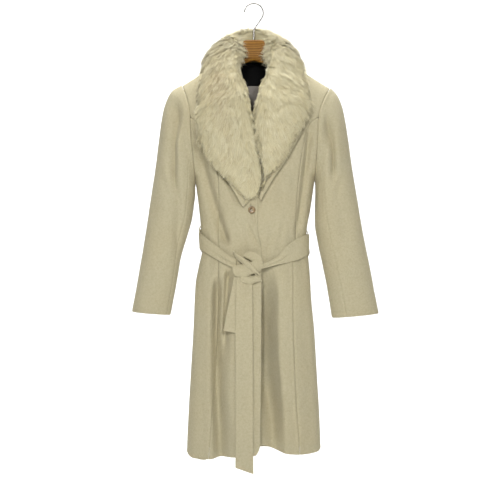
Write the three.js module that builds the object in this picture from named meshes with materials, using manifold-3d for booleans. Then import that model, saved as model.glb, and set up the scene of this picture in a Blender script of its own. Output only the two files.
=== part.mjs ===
// Long belted wool coat with a fur shawl collar, hung on a wooden hanger.
// Millimetres, +Z up, the coat's front faces -Y. The origin is the inside top of the hook.
// "Left" and "right" are the viewer's.
import * as THREE from "three";
import { mergeVertices } from "three/addons/utils/BufferGeometryUtils.js";
import Module from "manifold-3d";

const wasm = await Module();
wasm.setup();

// Driving dimensions
const WALL = 2.5;
const SEAM_GAP = 0.5;
const SIDE_GAP = 0.35;
const SEAT = 0.4;
const UNDERARM = -478;
const YOKE = 300;
const CHEST_FRONT = 78;
const CHEST_BACK = 58;
const ARMHOLE_FRONT = 58;
const ARMHOLE_BACK = 50;
const BACK_NECK_RISE = 0.944;
const NECK_HALF_WIDTH = 70;
const OVERLAP_LIFT = 3.2;
const OVERLAP_EDGE_BULGE = 1.6;
const LAPEL_THICKNESS = 2.2;
const BELT_THICKNESS = 3;
const BELT_SEAT = 0.9;
const LINING_SEAT = 1.4;
const LABEL_SEAT = 1.2;
const FUR_CLEARANCE = 3.8;
const BUTTON = { x: -6, z: -568, shank: 1.6, hole: 0.9, holeSpread: 2.6 };
const HOOK = { wire: 2, radius: 26, centre: -24, from: 178, to: -35, step: 17.75, foot: -98.1 };

const COLOURS = {
  wool: { color: 0xcbbfa3, roughness: 0.9, metalness: 0 },
  fur: { color: 0xd8cfab, roughness: 0.95, metalness: 0 },
  lining: { color: 0x82736a, roughness: 0.6, metalness: 0 },
  label: { color: 0x15120f, roughness: 0.7, metalness: 0 },
  wood: { color: 0xb5712c, roughness: 0.45, metalness: 0 },
  chrome: { color: 0xc8ccd0, roughness: 0.15, metalness: 1 },
  horn: { color: 0x5a3a22, roughness: 0.3, metalness: 0 },
};

const radians = (degrees) => degrees * Math.PI / 180;
const lerp = (a, b, t) => a + (b - a) * t;
const clamp = (value, low, high) => Math.min(high, Math.max(low, value));
const bump = (distance, halfWidth) => Math.exp(-((distance / halfWidth) ** 2));

function smooth(from, to, value) {
  const t = clamp((value - from) / (to - from), 0, 1);
  return t * t * (3 - 2 * t);
}

// A smooth curve through [place, value] pairs that never overshoots them
function track(pairs) {
  const knots = [...pairs].sort((p, q) => p[0] - q[0]);
  const last = knots.length - 1;
  const rise = knots.slice(0, last).map((p, i) => (knots[i + 1][1] - p[1]) / (knots[i + 1][0] - p[0]));
  const slope = knots.map((_, i) => {
    if (i === 0) return rise[0];
    if (i === last) return rise[last - 1];
    const product = rise[i - 1] * rise[i];
    return product <= 0 ? 0 : 2 * product / (rise[i - 1] + rise[i]);
  });
  return (place) => {
    if (place <= knots[0][0]) return knots[0][1];
    if (place >= knots[last][0]) return knots[last][1];
    let i = 0;
    while (place > knots[i + 1][0]) i += 1;
    const span = knots[i + 1][0] - knots[i][0];
    const t = (place - knots[i][0]) / span;
    const t2 = t * t;
    const t3 = t2 * t;
    return (2 * t3 - 3 * t2 + 1) * knots[i][1] + (t3 - 2 * t2 + t) * span * slope[i]
      + (3 * t2 - 2 * t3) * knots[i + 1][1] + (t3 - t2) * span * slope[i + 1];
  };
}

// Half widths of the body on each side and its depth front and back, by height
const halfWidth = {
  left: track([[-478, 162], [-532, 154], [-607, 146], [-641, 144], [-674, 142], [-720, 151],
    [-769, 160], [-896, 166], [-1047, 175], [-1204, 183], [-1240, 184]]),
  right: track([[-478, 168], [-532, 160], [-560, 156], [-632, 145], [-665, 145], [-700, 150],
    [-745, 154], [-813, 158], [-896, 166], [-1013, 173], [-1130, 180], [-1240, 184]]),
};
const frontDepth = track([[-478, CHEST_FRONT], [-560, 74], [-640, 64], [-674, 62], [-720, 66],
  [-800, 72], [-1000, 80], [-1240, 86]]);
const backDepth = track([[-478, CHEST_BACK], [-560, 55], [-674, 50], [-780, 60], [-1000, 68], [-1240, 75]]);

// The armhole's distance from the middle by its share of the way from underarm to shoulder
const armholeX = {
  left: track([[0, 162], [0.22, 167], [0.42, 172], [0.63, 174], [0.79, 181], [1, 197]]),
  right: track([[0, 168], [0.22, 172], [0.42, 173], [0.63, 177], [0.79, 188], [1, 209]]),
};
const shoulderLine = track([[0, -140], [75, -155], [120, -176], [145, -192.5], [197, -225.5], [212, -234.5]]);
const shoulderZ = (x) => shoulderLine(Math.abs(x));

// Folds pressed into the cloth: [x, z] at the top and at the bottom, half widths there, depth,
// and the lengths over which each end fades in
const FRONT_FOLDS = [
  { top: [-168, -338], end: [-76, -664], width: [17, 16], depth: 9, fade: [90, 30] },
  { top: [152, -330], end: [113, -650], width: [10, 10], depth: 8, fade: [60, 40] },
  { top: [-104, -735], end: [-90, -1240], width: [14, 18], depth: 13, fade: [90, 1] },
  { top: [-70, -725], end: [-74, -980], width: [10, 11], depth: 8, fade: [40, 110] },
  { top: [128, -760], end: [150, -1240], width: [12, 18], depth: 8, fade: [160, 1] },
];
const BACK_FOLDS = [
  { top: [-70, -720], end: [-88, -1240], width: [14, 22], depth: 12, fade: [160, 1] },
  { top: [60, -720], end: [96, -1240], width: [14, 22], depth: 14, fade: [160, 1] },
  { top: [-120, -420], end: [-60, -640], width: [14, 12], depth: 5, fade: [70, 40] },
  { top: [126, -420], end: [70, -640], width: [14, 12], depth: 5, fade: [70, 40] },
];

// The long trough of the under front beside the overlap: its deepest line, its outer edge and depth
const UNDER_TROUGH = {
  low: track([[-1240, 60], [-1116, 52], [-1033, 36], [-951, 22], [-745, 20]]),
  high: track([[-1240, 84], [-1116, 81], [-1033, 75], [-951, 69], [-745, 66]]),
  depth: track([[-1240, 24], [-1116, 30], [-951, 34], [-850, 30], [-780, 19], [-728, 4], [-690, 0]]),
  rounding: 0.012,
  bend: 2.2,
  inwardShare: 0.45,
  inwardReach: 42,
  outerFade: [1.05, 1.6],
};

function underTrough(x, z) {
  const trough = UNDER_TROUGH;
  const low = trough.low(z);
  const t = (x - low) / (trough.high(z) - low);
  const [fadeStart, fadeEnd] = trough.outerFade;
  if (t > fadeEnd) return 0;
  const inward = trough.inwardShare * smooth(0, trough.inwardReach, low - x);
  const share = t > 0 ? 1 - t ** trough.bend : 1 - inward;
  const rounded = (share + Math.sqrt(share ** 2 + trough.rounding)) / 2;
  return -trough.depth(z) * rounded * (1 - smooth(fadeStart, fadeEnd, t));
}

function foldDepth(folds, x, z) {
  let total = 0;
  for (const fold of folds) {
    const t = (z - fold.top[1]) / (fold.end[1] - fold.top[1]);
    if (t < 0 || t > 1) continue;
    const length = Math.abs(fold.end[1] - fold.top[1]);
    const inFade = smooth(0, fold.fade[0], t * length);
    const outFade = smooth(0, fold.fade[1], (1 - t) * length + (fold.fade[1] === 1 ? 1 : 0));
    const centre = lerp(fold.top[0], fold.end[0], t);
    total += fold.depth * inFade * outFade * bump(x - centre, lerp(fold.width[0], fold.width[1], t));
  }
  return total;
}

const powerSum = (f, count) => Array.from({ length: count }, (_, k) => f ** k).reduce((a, b) => a + b);

// Square of the armhole's half depth as a share of the yoke's depth at the same height
function armholeShare(f, isFront) {
  return isFront
    ? 4 * ARMHOLE_FRONT ** 2 * f / (CHEST_FRONT ** 2 * powerSum(f, 4))
    : 4 * ARMHOLE_BACK ** 2 * f / (CHEST_BACK ** 2 * powerSum(f, 12));
}

// The body's half width where its section would close, at arc place s: below the underarm s is
// the height under it in millimetres, above it s runs from 0 to YOKE at the shoulder seam
function sectionWidth(s, side, isFront) {
  if (s <= 0) return halfWidth[side](UNDERARM + s);
  const f = s / YOKE;
  return armholeX[side](f) / Math.sqrt(1 - armholeShare(f, isFront));
}

// A point of the body's outer surface at angle theta (0 is the front middle, -90 the left side)
function bodySurface(theta, s, folded) {
  const side = Math.sin(theta) < 0 ? "left" : "right";
  const isFront = Math.cos(theta) >= 0;
  const x = sectionWidth(s, side, isFront) * Math.sin(theta);
  const f = Math.min(Math.max(s, 0) / YOKE, 1);
  const z = s <= 0 ? UNDERARM + s : lerp(UNDERARM, shoulderZ(x), f);
  const lower = isFront ? frontDepth(z) : backDepth(z);
  const upper = isFront ? CHEST_FRONT * Math.sqrt(1 - f ** 4) : CHEST_BACK * Math.sqrt(1 - f ** 12);
  const depth = s <= 0 ? lower : upper;
  const fold = folded ? foldDepth(isFront ? FRONT_FOLDS : BACK_FOLDS, x, z) : 0;
  const direction = isFront ? -1 : 1;
  const y = direction * (SIDE_GAP + depth * Math.abs(Math.cos(theta)) - fold * Math.abs(Math.cos(theta)));
  return new THREE.Vector3(x, y, z);
}

// The same point moved out along the surface by lift
function bodyPoint(theta, s, lift, folded = true) {
  const step = 0.004;
  const rise = 0.25;
  const quarter = Math.PI / 2;
  const isFront = Math.cos(theta) >= 0;
  const low = isFront ? -quarter : quarter;
  const around = isFront ? theta : (theta < 0 ? theta + 2 * Math.PI : theta);
  const before = bodySurface(clamp(around - step, low, low + Math.PI), s, folded);
  const after = bodySurface(clamp(around + step, low, low + Math.PI - 1e-9), s, folded);
  const under = bodySurface(theta, s - rise, folded);
  const over = bodySurface(theta, Math.min(s + rise, YOKE), folded);
  const normal = new THREE.Vector3().crossVectors(after.sub(before), over.sub(under)).normalize();
  return bodySurface(theta, s, folded).addScaledVector(normal, lift);
}

// The angle and arc place of the front or back surface at a given x and z
function placeOf(x, z, isFront = true) {
  const s = z <= UNDERARM ? z - UNDERARM : YOKE * (z - UNDERARM) / (shoulderZ(x) - UNDERARM);
  const theta = Math.asin(clamp(x / sectionWidth(s, x < 0 ? "left" : "right", isFront), -1, 1));
  return { theta: isFront ? theta : Math.PI - theta, s };
}

function onBody(x, z, lift, isFront = true) {
  const place = placeOf(x, z, isFront);
  return bodyPoint(place.theta, place.s, lift, false);
}

// A closed solid from triangles, turned so that its faces point out
function solid(points, triangles) {
  let volume = 0;
  for (const [a, b, c] of triangles) {
    volume += points[a].dot(new THREE.Vector3().crossVectors(points[b], points[c]));
  }
  const outward = volume > 0 ? triangles : triangles.map(([a, b, c]) => [a, c, b]);
  const geometry = new THREE.BufferGeometry().setFromPoints(points);
  geometry.setIndex(outward.flat());
  return geometry;
}

// The solid between two grids of points of the same size
function slab(outer, inner) {
  const rows = outer.length;
  const columns = outer[0].length;
  const points = [...outer.flat(), ...inner.flat()];
  const at = (layer, i, j) => layer * rows * columns + i * columns + j;
  const triangles = [];
  const quad = (a, b, c, d) => triangles.push([a, b, c], [a, c, d]);
  for (let i = 0; i + 1 < rows; i += 1) {
    for (let j = 0; j + 1 < columns; j += 1) {
      quad(at(0, i, j), at(0, i, j + 1), at(0, i + 1, j + 1), at(0, i + 1, j));
      quad(at(1, i, j), at(1, i + 1, j), at(1, i + 1, j + 1), at(1, i, j + 1));
    }
    quad(at(0, i, 0), at(0, i + 1, 0), at(1, i + 1, 0), at(1, i, 0));
    quad(at(0, i + 1, columns - 1), at(0, i, columns - 1), at(1, i, columns - 1), at(1, i + 1, columns - 1));
  }
  for (let j = 0; j + 1 < columns; j += 1) {
    quad(at(0, 0, j + 1), at(0, 0, j), at(1, 0, j), at(1, 0, j + 1));
    quad(at(0, rows - 1, j), at(0, rows - 1, j + 1), at(1, rows - 1, j + 1), at(1, rows - 1, j));
  }
  return solid(points, triangles);
}

// The solid through closed rings of points, with a flat fan on each end
function loft(rings) {
  const count = rings[0].length;
  const middle = (ring) => ring.reduce((sum, p) => sum.add(p), new THREE.Vector3()).divideScalar(count);
  const points = [...rings.flat(), middle(rings[0]), middle(rings[rings.length - 1])];
  const triangles = [];
  for (let i = 0; i + 1 < rings.length; i += 1) {
    for (let j = 0; j < count; j += 1) {
      const a = i * count + j;
      const b = i * count + (j + 1) % count;
      triangles.push([a, b, b + count], [a, b + count, a + count]);
    }
  }
  const top = rings.length * count;
  const lastRing = (rings.length - 1) * count;
  for (let j = 0; j < count; j += 1) {
    const next = (j + 1) % count;
    triangles.push([top, next, j], [top + 1, lastRing + j, lastRing + next]);
  }
  return solid(points, triangles);
}

function toManifold(geometry) {
  const bare = geometry.clone();
  bare.deleteAttribute("normal");
  bare.deleteAttribute("uv");
  const merged = mergeVertices(bare, 1e-4);
  return new wasm.Manifold(new wasm.Mesh({
    numProp: 3,
    vertProperties: new Float32Array(merged.attributes.position.array),
    triVerts: new Uint32Array(merged.index.array),
  }));
}

function fromManifold(manifold) {
  const mesh = manifold.getMesh();
  const geometry = new THREE.BufferGeometry();
  geometry.setAttribute("position", new THREE.BufferAttribute(new Float32Array(mesh.vertProperties), 3));
  geometry.setIndex(new THREE.BufferAttribute(new Uint32Array(mesh.triVerts), 1));
  return geometry;
}

// A closed geometry rebuilt so that its faces point out
function solidAgain(geometry) {
  const bare = geometry.clone();
  bare.deleteAttribute("normal");
  bare.deleteAttribute("uv");
  const merged = mergeVertices(bare, 1e-4);
  const position = merged.attributes.position;
  const pointAt = (_, i) => new THREE.Vector3().fromBufferAttribute(position, i);
  const points = Array.from({ length: position.count }, pointAt);
  const triangles = [];
  const index = merged.index.array;
  for (let i = 0; i < index.length; i += 3) {
    const [a, b, c] = [index[i], index[i + 1], index[i + 2]];
    if (a !== b && b !== c && a !== c) triangles.push([a, b, c]);
  }
  return solid(points, triangles);
}

const grid = (rows, columns, point) => Array.from({ length: rows + 1 }, (_, i) =>
  Array.from({ length: columns + 1 }, (_, j) => point(i / rows, j / columns)));

// Seams and edges as x by arc place s
const frontEdge = {
  over: track([[300, -70], [262, -55], [223, -38], [163, -14], [98, -2], [12, 10], [-89, 11],
    [-104, 9.5], [-146, 11], [-181, 18], [-216, 20.5], [-272, 20], [-522, 19], [-760, 16]]),
  under: track([[300, 70], [262, 55], [223, 38], [163, 20], [98, 5], [12, -8], [-89, -20],
    [-130, -50], [-760, -50]]),
};
const princess = {
  left: track([[300, -330], [180, -172], [147, -148], [111, -128], [75, -112], [45, -102], [0, -97],
    [-172, -96], [-484, -102], [-760, -123]]),
  right: track([[300, 330], [180, 174.6], [154, 152], [75, 132], [0, 122], [-71, 117], [-172, 114],
    [-212, 106], [-335, 106], [-602, 114], [-760, 126]]),
};

// Hem heights by x
const hem = {
  over: track([[-187, -1224], [-178, -1236], [-165, -1241], [-130, -1240], [-61, -1233], [4, -1225],
    [12, -1214], [16, -1201]]),
  under: track([[-50, -1190], [20, -1200], [54, -1211], [97, -1225], [139, -1228], [175, -1225],
    [187, -1217]]),
  back: track([[-187, -1224], [-178, -1228], [0, -1230], [175, -1222], [187, -1217]]),
};

const thetaOf = (x, s) => Math.asin(clamp(x / sectionWidth(s, x < 0 ? "left" : "right", true), -1, 1));

function armholeTheta(s, side, isFront) {
  const sign = side === "left" ? -1 : 1;
  const f = clamp(s / YOKE, 0, 1);
  const theta = s <= 0 ? Math.PI / 2 - 1e-6 : Math.asin(Math.sqrt(1 - armholeShare(f, isFront)));
  return sign * (isFront ? theta : Math.PI - theta);
}

// The angle that moves a point along the surface by a length
function arcAngle(theta, s, length) {
  const point = bodySurface(theta, s, false);
  const width = sectionWidth(s, theta < 0 ? "left" : "right", Math.cos(theta) >= 0);
  return length / Math.max(10, Math.hypot(width * Math.cos(theta), point.y * Math.tan(theta)));
}

function overLift(x, z) {
  const bulge = OVERLAP_EDGE_BULGE * bump(x - 8, 26) * bump(z - BUTTON.z, 60);
  return OVERLAP_LIFT * smooth(-95, -58, x) * (1 - smooth(-330, -250, z)) + bulge;
}

// How far the cloth under whatever lies on the front stands out
function coverLift(x, z) {
  const edge = frontEdge.over(placeOf(x, z).s);
  return overLift(x, z) * (1 - smooth(edge + 2, edge + 18, x));
}

// Arc places of a column's rows, from its hem up to its top
function columnPlaces(hemZ, levels) {
  return [hemZ - UNDERARM, ...SKIRT_HEIGHTS.map((z) => z - UNDERARM), ...levels];
}

// One sewn panel: theta between two edges at each arc place, from the hem to its top
function panel({ from, to, hemAt, levelsAt, columns, lift = () => 0 }) {
  const hemLevel = -748;
  const outer = [];
  const inner = [];
  for (let j = 0; j <= columns; j += 1) {
    const u = j / columns;
    const hemX = bodySurface(lerp(from(hemLevel), to(hemLevel), u), hemLevel, false).x;
    const places = columnPlaces(hemAt(hemX), levelsAt(u));
    outer.push([]);
    inner.push([]);
    for (const s of places) {
      const start = from(s);
      const end = to(s);
      const gap = SEAM_GAP / 2;
      const theta = lerp(start + arcAngle(start, s, gap), end - arcAngle(end, s, gap), u);
      const rest = bodySurface(theta, s, false);
      const raised = lift(rest.x, rest.z);
      outer[j].push(bodyPoint(theta, s, raised));
      inner[j].push(bodyPoint(theta, s, raised - WALL));
    }
  }
  return slab(outer, inner);
}

// Rows that all panels share: heights below the underarm, close together at the waist, then arc
// places up to the shoulder seam; the side pieces end at the tip
const SKIRT_HEIGHTS = [-1140, -1040, -940, -850, -780, -736, -704, -679, -655, -630, -600, -564, -522];
const SIDE_TIP = 178;
const YOKE_LEVELS = [0, 45, 90, 136, SIDE_TIP, 212, 244, 264, 280, 291, 297.4, 299.5, YOKE];

function frontOver() {
  return panel({
    from: (s) => Math.max(thetaOf(princess.left(s), s), armholeTheta(s, "left", true)),
    to: (s) => thetaOf(frontEdge.over(s), s),
    hemAt: hem.over,
    levelsAt: () => YOKE_LEVELS,
    columns: 10,
    lift: overLift,
  });
}

function frontUnder() {
  return panel({
    from: (s) => thetaOf(frontEdge.under(s), s),
    to: (s) => Math.min(thetaOf(princess.right(s), s), armholeTheta(s, "right", true)),
    hemAt: hem.under,
    levelsAt: () => YOKE_LEVELS,
    columns: 12,
    lift: underTrough,
  });
}

function frontSide(side) {
  const isLeft = side === "left";
  const atSeam = (s) => thetaOf(princess[side](s), s);
  const atSide = (s) => armholeTheta(s, side, true);
  return panel({
    from: isLeft ? atSide : atSeam,
    to: isLeft ? atSeam : atSide,
    hemAt: isLeft ? hem.over : hem.under,
    levelsAt: () => YOKE_LEVELS.filter((s) => s <= SIDE_TIP),
    columns: 5,
  });
}

function back(side) {
  const isLeft = side === "left";
  const middle = (s) => (isLeft ? -Math.PI : Math.PI);
  const atSide = (s) => armholeTheta(s, side, false);
  return panel({
    from: isLeft ? middle : atSide,
    to: isLeft ? atSide : middle,
    hemAt: hem.back,
    levelsAt: (u) => {
      const theta = isLeft ? lerp(middle(YOKE), atSide(YOKE), u) : lerp(atSide(YOKE), middle(YOKE), u);
      const share = clamp(bodySurface(theta, YOKE * BACK_NECK_RISE, false).x / NECK_HALF_WIDTH, -1, 1);
      const top = 1 - (1 - BACK_NECK_RISE) * (1 - share ** 2);
      return YOKE_LEVELS.map((s) => s * top);
    },
    columns: 10,
  });
}

// Sleeve outlines: outer and inner edge seen from the front, and half depth, from armhole to cuff
const SLEEVES = {
  left: [
    { outer: [-197, -225.5], inner: [-162, -478], depth: 58 },
    { outer: [-223, -241], inner: [-162, -490], depth: 59 },
    { outer: [-240, -273], inner: [-163, -505], depth: 59 },
    { outer: [-250, -311], inner: [-163, -525], depth: 58 },
    { outer: [-259, -380], inner: [-166, -550], depth: 56 },
    { outer: [-268, -450], inner: [-172, -590], depth: 53 },
    { outer: [-280, -530], inner: [-186, -640], depth: 49 },
    { outer: [-295, -630], inner: [-202, -695], depth: 45 },
    { outer: [-311, -725], inner: [-214, -765], depth: 40 },
    { outer: [-333, -845], inner: [-231, -853], depth: 35 },
  ],
  right: [
    { outer: [209, -232.5], inner: [168, -478], depth: 58 },
    { outer: [226, -250], inner: [170, -490], depth: 59 },
    { outer: [240, -281], inner: [171, -505], depth: 59 },
    { outer: [249, -320], inner: [171, -525], depth: 58 },
    { outer: [258, -380], inner: [170, -552], depth: 56 },
    { outer: [268, -450], inner: [170, -600], depth: 53 },
    { outer: [281, -530], inner: [178, -655], depth: 49 },
    { outer: [297, -625], inner: [190, -712], depth: 45 },
    { outer: [317, -725], inner: [203, -776], depth: 40 },
    { outer: [341, -850], inner: [217, -861], depth: 35 },
  ],
};
// Angles of the sleeve's two seams: 0 is the outer edge, 90 the front, 180 the inner edge
const SLEEVE_SEAMS = { left: { front: [118, 150], back: 248 }, right: { front: [128, 116], back: 246 } };
const SLEEVE_ROWS = 15;
const SLEEVE_PART = 0.56;
const SLEEVE_PART_GAP = 0.0013;
const SLEEVE_FOLDS = {
  left: [
    { at: [56, 134], span: [0.06, 0.8], width: 15, depth: 9 },
    { at: [280, 270], span: [0.3, 0.8], width: 18, depth: 4 },
  ],
  right: [
    { at: [74, 92], span: [0.06, 0.66], width: 15, depth: 9 },
    { at: [285, 270], span: [0.3, 0.8], width: 18, depth: 4 },
  ],
};

function sleevePoint(side, t, phi, lift) {
  const rows = SLEEVES[side];
  const sign = side === "left" ? -1 : 1;
  const place = t * (rows.length - 1);
  const pick = (read) => track(rows.map((row, i) => [i, read(row)]))(place);
  const outer = new THREE.Vector3(pick((r) => r.outer[0]), 0, pick((r) => r.outer[1]));
  const inner = new THREE.Vector3(pick((r) => r.inner[0]), 0, pick((r) => r.inner[1]));
  const share = (1 + Math.cos(phi)) / 2;
  const point = inner.clone().lerp(outer, share);
  const straight = lerp(rows[0].inner[0], rows[0].outer[0], share);
  const bow = sign * armholeX[side](share) - straight;
  const seamZ = lerp(UNDERARM, shoulderZ(armholeX[side](share)), share);
  const rise = seamZ - lerp(rows[0].inner[1], rows[0].outer[1], share);
  point.x += bow * (1 - smooth(0, 0.3, t)) + sign * SEAM_GAP * (1 - smooth(0, 0.1, t));
  point.z += rise * (1 - smooth(0, 0.3, t));
  const frontHalf = Math.sin(phi) > 0;
  const seamDepth = frontHalf ? ARMHOLE_FRONT : ARMHOLE_BACK;
  const depth = lerp(seamDepth, pick((r) => r.depth), smooth(0, 0.12, t)) + lift;
  let fold = 0;
  for (const f of SLEEVE_FOLDS[side]) {
    const ramp = smooth(f.span[0], f.span[0] + 0.12, t) * (1 - smooth(f.span[1] - 0.15, f.span[1], t));
    const angle = phi * 180 / Math.PI - lerp(f.at[0], f.at[1], t);
    fold += f.depth * ramp * bump(((angle + 540) % 360) - 180, f.width);
  }
  point.y = -Math.sin(phi) * (depth - fold);
  const swell = (point.x - (outer.x + inner.x) / 2) / Math.max(1, Math.abs(outer.x - inner.x) / 2);
  point.x += swell * (lift - fold * 0.4) * smooth(0, 0.12, t);
  return point;
}

// A sleeve piece between two shares of the sleeve's length
function sleevePiece(side, isTop, start = 0, end = 1) {
  const seams = SLEEVE_SEAMS[side];
  const rows = Math.round(SLEEVE_ROWS * (end - start));
  const columns = isTop ? 11 : 6;
  const seamGap = 0.3;
  const rings = grid(rows, columns, (v, u) => {
    const t = lerp(start, end, v);
    const front = lerp(seams.front[0], seams.front[1], t);
    const from = isTop ? seams.back - 360 + seamGap : front + seamGap;
    const to = isTop ? front - seamGap : seams.back - seamGap;
    const phi = radians(lerp(from, to, u));
    return { outer: sleevePoint(side, t, phi, 0), inner: sleevePoint(side, t, phi, -WALL) };
  });
  return slab(rings.map((ring) => ring.map((p) => p.outer)), rings.map((ring) => ring.map((p) => p.inner)));
}

// The body without folds from the waist to the shoulders, grown in front and behind
function bodyCore(growFront, growBack, bottom) {
  const rise = 1.5;
  const rowCount = 26;
  const columnCount = 36;
  const grids = [true, false].map((isFront) => grid(rowCount, columnCount, (v, u) => {
    const s = v < 0.3 ? (bottom - UNDERARM) * (1 - v / 0.3) : YOKE * Math.sin((v - 0.3) / 0.7 * Math.PI / 2);
    const leftTheta = Math.abs(armholeTheta(s, "left", isFront));
    const edge = isFront ? leftTheta : Math.PI - leftTheta;
    const theta = lerp(-edge, edge, u);
    const point = bodySurface(isFront ? theta : Math.PI - theta, s, false);
    point.y += isFront ? -growFront(point.x, point.z) : growBack;
    point.z += rise;
    return point;
  }));
  return toManifold(slab(grids[0], grids[1]));
}

// A loft of ovals along stations: centre, half of the long axis, half thickness across it
function ovalLoft(stations, ringCount, pointCount, grow = 0, squareness = 2.3) {
  const vector = (p) => new THREE.Vector3(...p);
  const centres = new THREE.CatmullRomCurve3(stations.map((s) => vector(s.centre)), false, "catmullrom", 0.5);
  const axes = new THREE.CatmullRomCurve3(stations.map((s) => vector(s.axis)), false, "catmullrom", 0.5);
  const thickness = track(stations.map((s, i) => [i / (stations.length - 1), s.thick]));
  const power = 2 / squareness;
  const rings = [];
  for (let i = 0; i <= ringCount; i += 1) {
    const t = i / ringCount;
    const centre = centres.getPoint(t);
    const axis = axes.getPoint(t);
    const across = new THREE.Vector3().crossVectors(centres.getTangent(t), axis).normalize();
    const longScale = 1 + grow / axis.length();
    rings.push(Array.from({ length: pointCount }, (_, k) => {
      const angle = k / pointCount * 2 * Math.PI;
      const along = Math.sign(Math.cos(angle)) * Math.abs(Math.cos(angle)) ** power;
      const side = Math.sign(Math.sin(angle)) * Math.abs(Math.sin(angle)) ** power;
      return centre.clone().addScaledVector(axis, along * longScale)
        .addScaledVector(across, side * (thickness(t) + grow));
    }));
  }
  return loft(rings);
}

const frontY = (x, z) => onBody(x, z, 0).y;

// A collar station on the coat's front
function onFront(x, z, axisX, axisZ, thick) {
  return { centre: [x, frontY(x, z) - 4 - thick * 0.55, z], axis: [axisX, 0, axisZ], thick };
}

// The collar behind the neck, from its centre seam to the shoulder
const collarBehind = (sign) => [
  { centre: [sign * 0.3, 60, -146], axis: [0, 18, -86], thick: 33 },
  { centre: [sign * 32, 58, -145], axis: [sign * 9, 19, -84], thick: 35 },
  { centre: [sign * 62, 46, -144], axis: [sign * 23, 20, -70], thick: 38 },
];
const COLLAR = {
  left: [
    ...collarBehind(-1),
    { centre: [-86, 8, -148], axis: [-51, 0, -42], thick: 40 },
    { centre: [-88, -45, -195], axis: [-58, 5, -28], thick: 34 },
    onFront(-83, -277, -68, -24, 27),
    onFront(-73, -357, -76, -15, 25),
    onFront(-45, -430, -60, -20, 23),
    onFront(-14, -494, -40, -11, 18),
    onFront(-7, -536, -19, -5, 9),
  ],
  right: [
    ...collarBehind(1),
    { centre: [83, 8, -148], axis: [47, 0, -41], thick: 40 },
    { centre: [84, -45, -195], axis: [54, 5, -28], thick: 34 },
    onFront(78, -273, 70, -20, 27),
    onFront(53, -346, 60, -14, 24),
    onFront(40, -410, 40, -12, 20),
    onFront(29, -466, 16, -6, 15),
    onFront(18, -508, 7, -3, 9),
    onFront(12, -534, 4, -2, 5),
  ],
};

const COLLAR_RINGS = 18;
const COLLAR_POINTS = 12;

function collarPiece(side, cuts) {
  let body = toManifold(ovalLoft(COLLAR[side], COLLAR_RINGS, COLLAR_POINTS));
  for (const cut of cuts) body = body.subtract(cut);
  const pieces = body.decompose().sort((a, b) => b.volume() - a.volume());
  return fromManifold(pieces[0]);
}

// A strip of cloth between an outer and an inner line on the front
function frontStrip(outerLine, innerLine, rows, columns, lower, upper) {
  const lineAt = (points, t) => new THREE.CatmullRomCurve3(
    points.map(([x, z]) => new THREE.Vector3(x, 0, z)), false, "centripetal").getPoint(t);
  const at = (layerLift) => grid(rows, columns, (t, u) => {
    const p = lineAt(innerLine, t).lerp(lineAt(outerLine, t), u);
    return onBody(p.x, p.z, coverLift(p.x, p.z) + layerLift);
  });
  return slab(at(upper), at(lower));
}

const LAPELS = {
  left: {
    outer: [[-136, -350], [-112, -412], [-80, -470], [-56, -511], [-29, -560]],
    inner: [[-70, -340], [-50, -400], [-30, -450], [-16, -490], [-14, -545]],
  },
  right: {
    outer: [[155, -295], [139, -330], [108, -392], [86, -430], [48, -487], [17, -543]],
    inner: [[112, -285], [98, -322], [70, -380], [50, -418], [28, -465], [15, -530]],
  },
};

function lapel(side) {
  return frontStrip(LAPELS[side].outer, LAPELS[side].inner, 12, 4, SEAT, SEAT + LAPEL_THICKNESS);
}

// Belt edges by x on the front: height of the upper and lower edge
const BELT = {
  left: {
    upper: track([[-150, -619], [-128, -641], [-96, -668], [-62, -694], [-42, -703]]),
    lower: track([[-150, -667], [-123, -686], [-70, -715], [-42, -727]]),
    end: -44,
  },
  right: {
    upper: track([[10, -716], [20, -714], [58, -697], [88, -665], [114, -646], [146, -633]]),
    lower: track([[10, -729], [61, -715], [114, -702], [148, -684]]),
    end: 10,
  },
  back: { middle: [-643, -658.5], width: [48, 51] },
};

function beltStrand(side, grow = 0) {
  const edges = BELT[side];
  const sign = side === "left" ? -1 : 1;
  const columns = 14;
  const layer = (lift) => grid(columns, 4, (u, v) => {
    const level = edges.upper(sign * 100);
    const endTheta = thetaOf(edges.end - sign * grow, level - UNDERARM);
    const gap = arcAngle(sign * Math.PI / 2, level - UNDERARM, SEAM_GAP / 2);
    const theta = lerp(sign * (Math.PI / 2 - gap), endTheta, u);
    const x = sectionWidth(level - UNDERARM, side, true) * Math.sin(theta);
    const z = lerp(edges.upper(x) + grow, edges.lower(x) - grow, v);
    return bodyPoint(theta, z - UNDERARM, coverLift(x, z) + lift, false);
  });
  return slab(layer(BELT_SEAT + BELT_THICKNESS + grow), layer(BELT_SEAT - grow));
}

function beltBack() {
  const layer = (lift) => grid(24, 3, (u, v) => {
    const gap = 0.0025;
    const theta = lerp(Math.PI / 2 + gap, 1.5 * Math.PI - gap, u);
    const middle = lerp(BELT.back.middle[1], BELT.back.middle[0], u);
    const width = lerp(BELT.back.width[1], BELT.back.width[0], u);
    return bodyPoint(theta, middle + width * (0.5 - v) - UNDERARM, lift, false);
  });
  return slab(layer(BELT_SEAT + BELT_THICKNESS), layer(BELT_SEAT));
}

// The hanging ends: left and right edge by height, and how far they stand off the cloth
const TAILS = {
  long: {
    left: track([[-742, -42], [-770, -47], [-900, -49], [-1260, -48.5]]),
    right: track([[-742, -8], [-770, -4], [-900, -3], [-1280, -1.5]]),
    top: [-742, -742], end: [-1256, -1272], stand: 7.2,
  },
  short: {
    left: track([[-752, -54], [-896, -80], [-910, -82]]),
    right: track([[-752, -24], [-896, -36], [-910, -37]]),
    top: [-750, -750], end: [-892, -901], stand: 3.8,
  },
};

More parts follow.
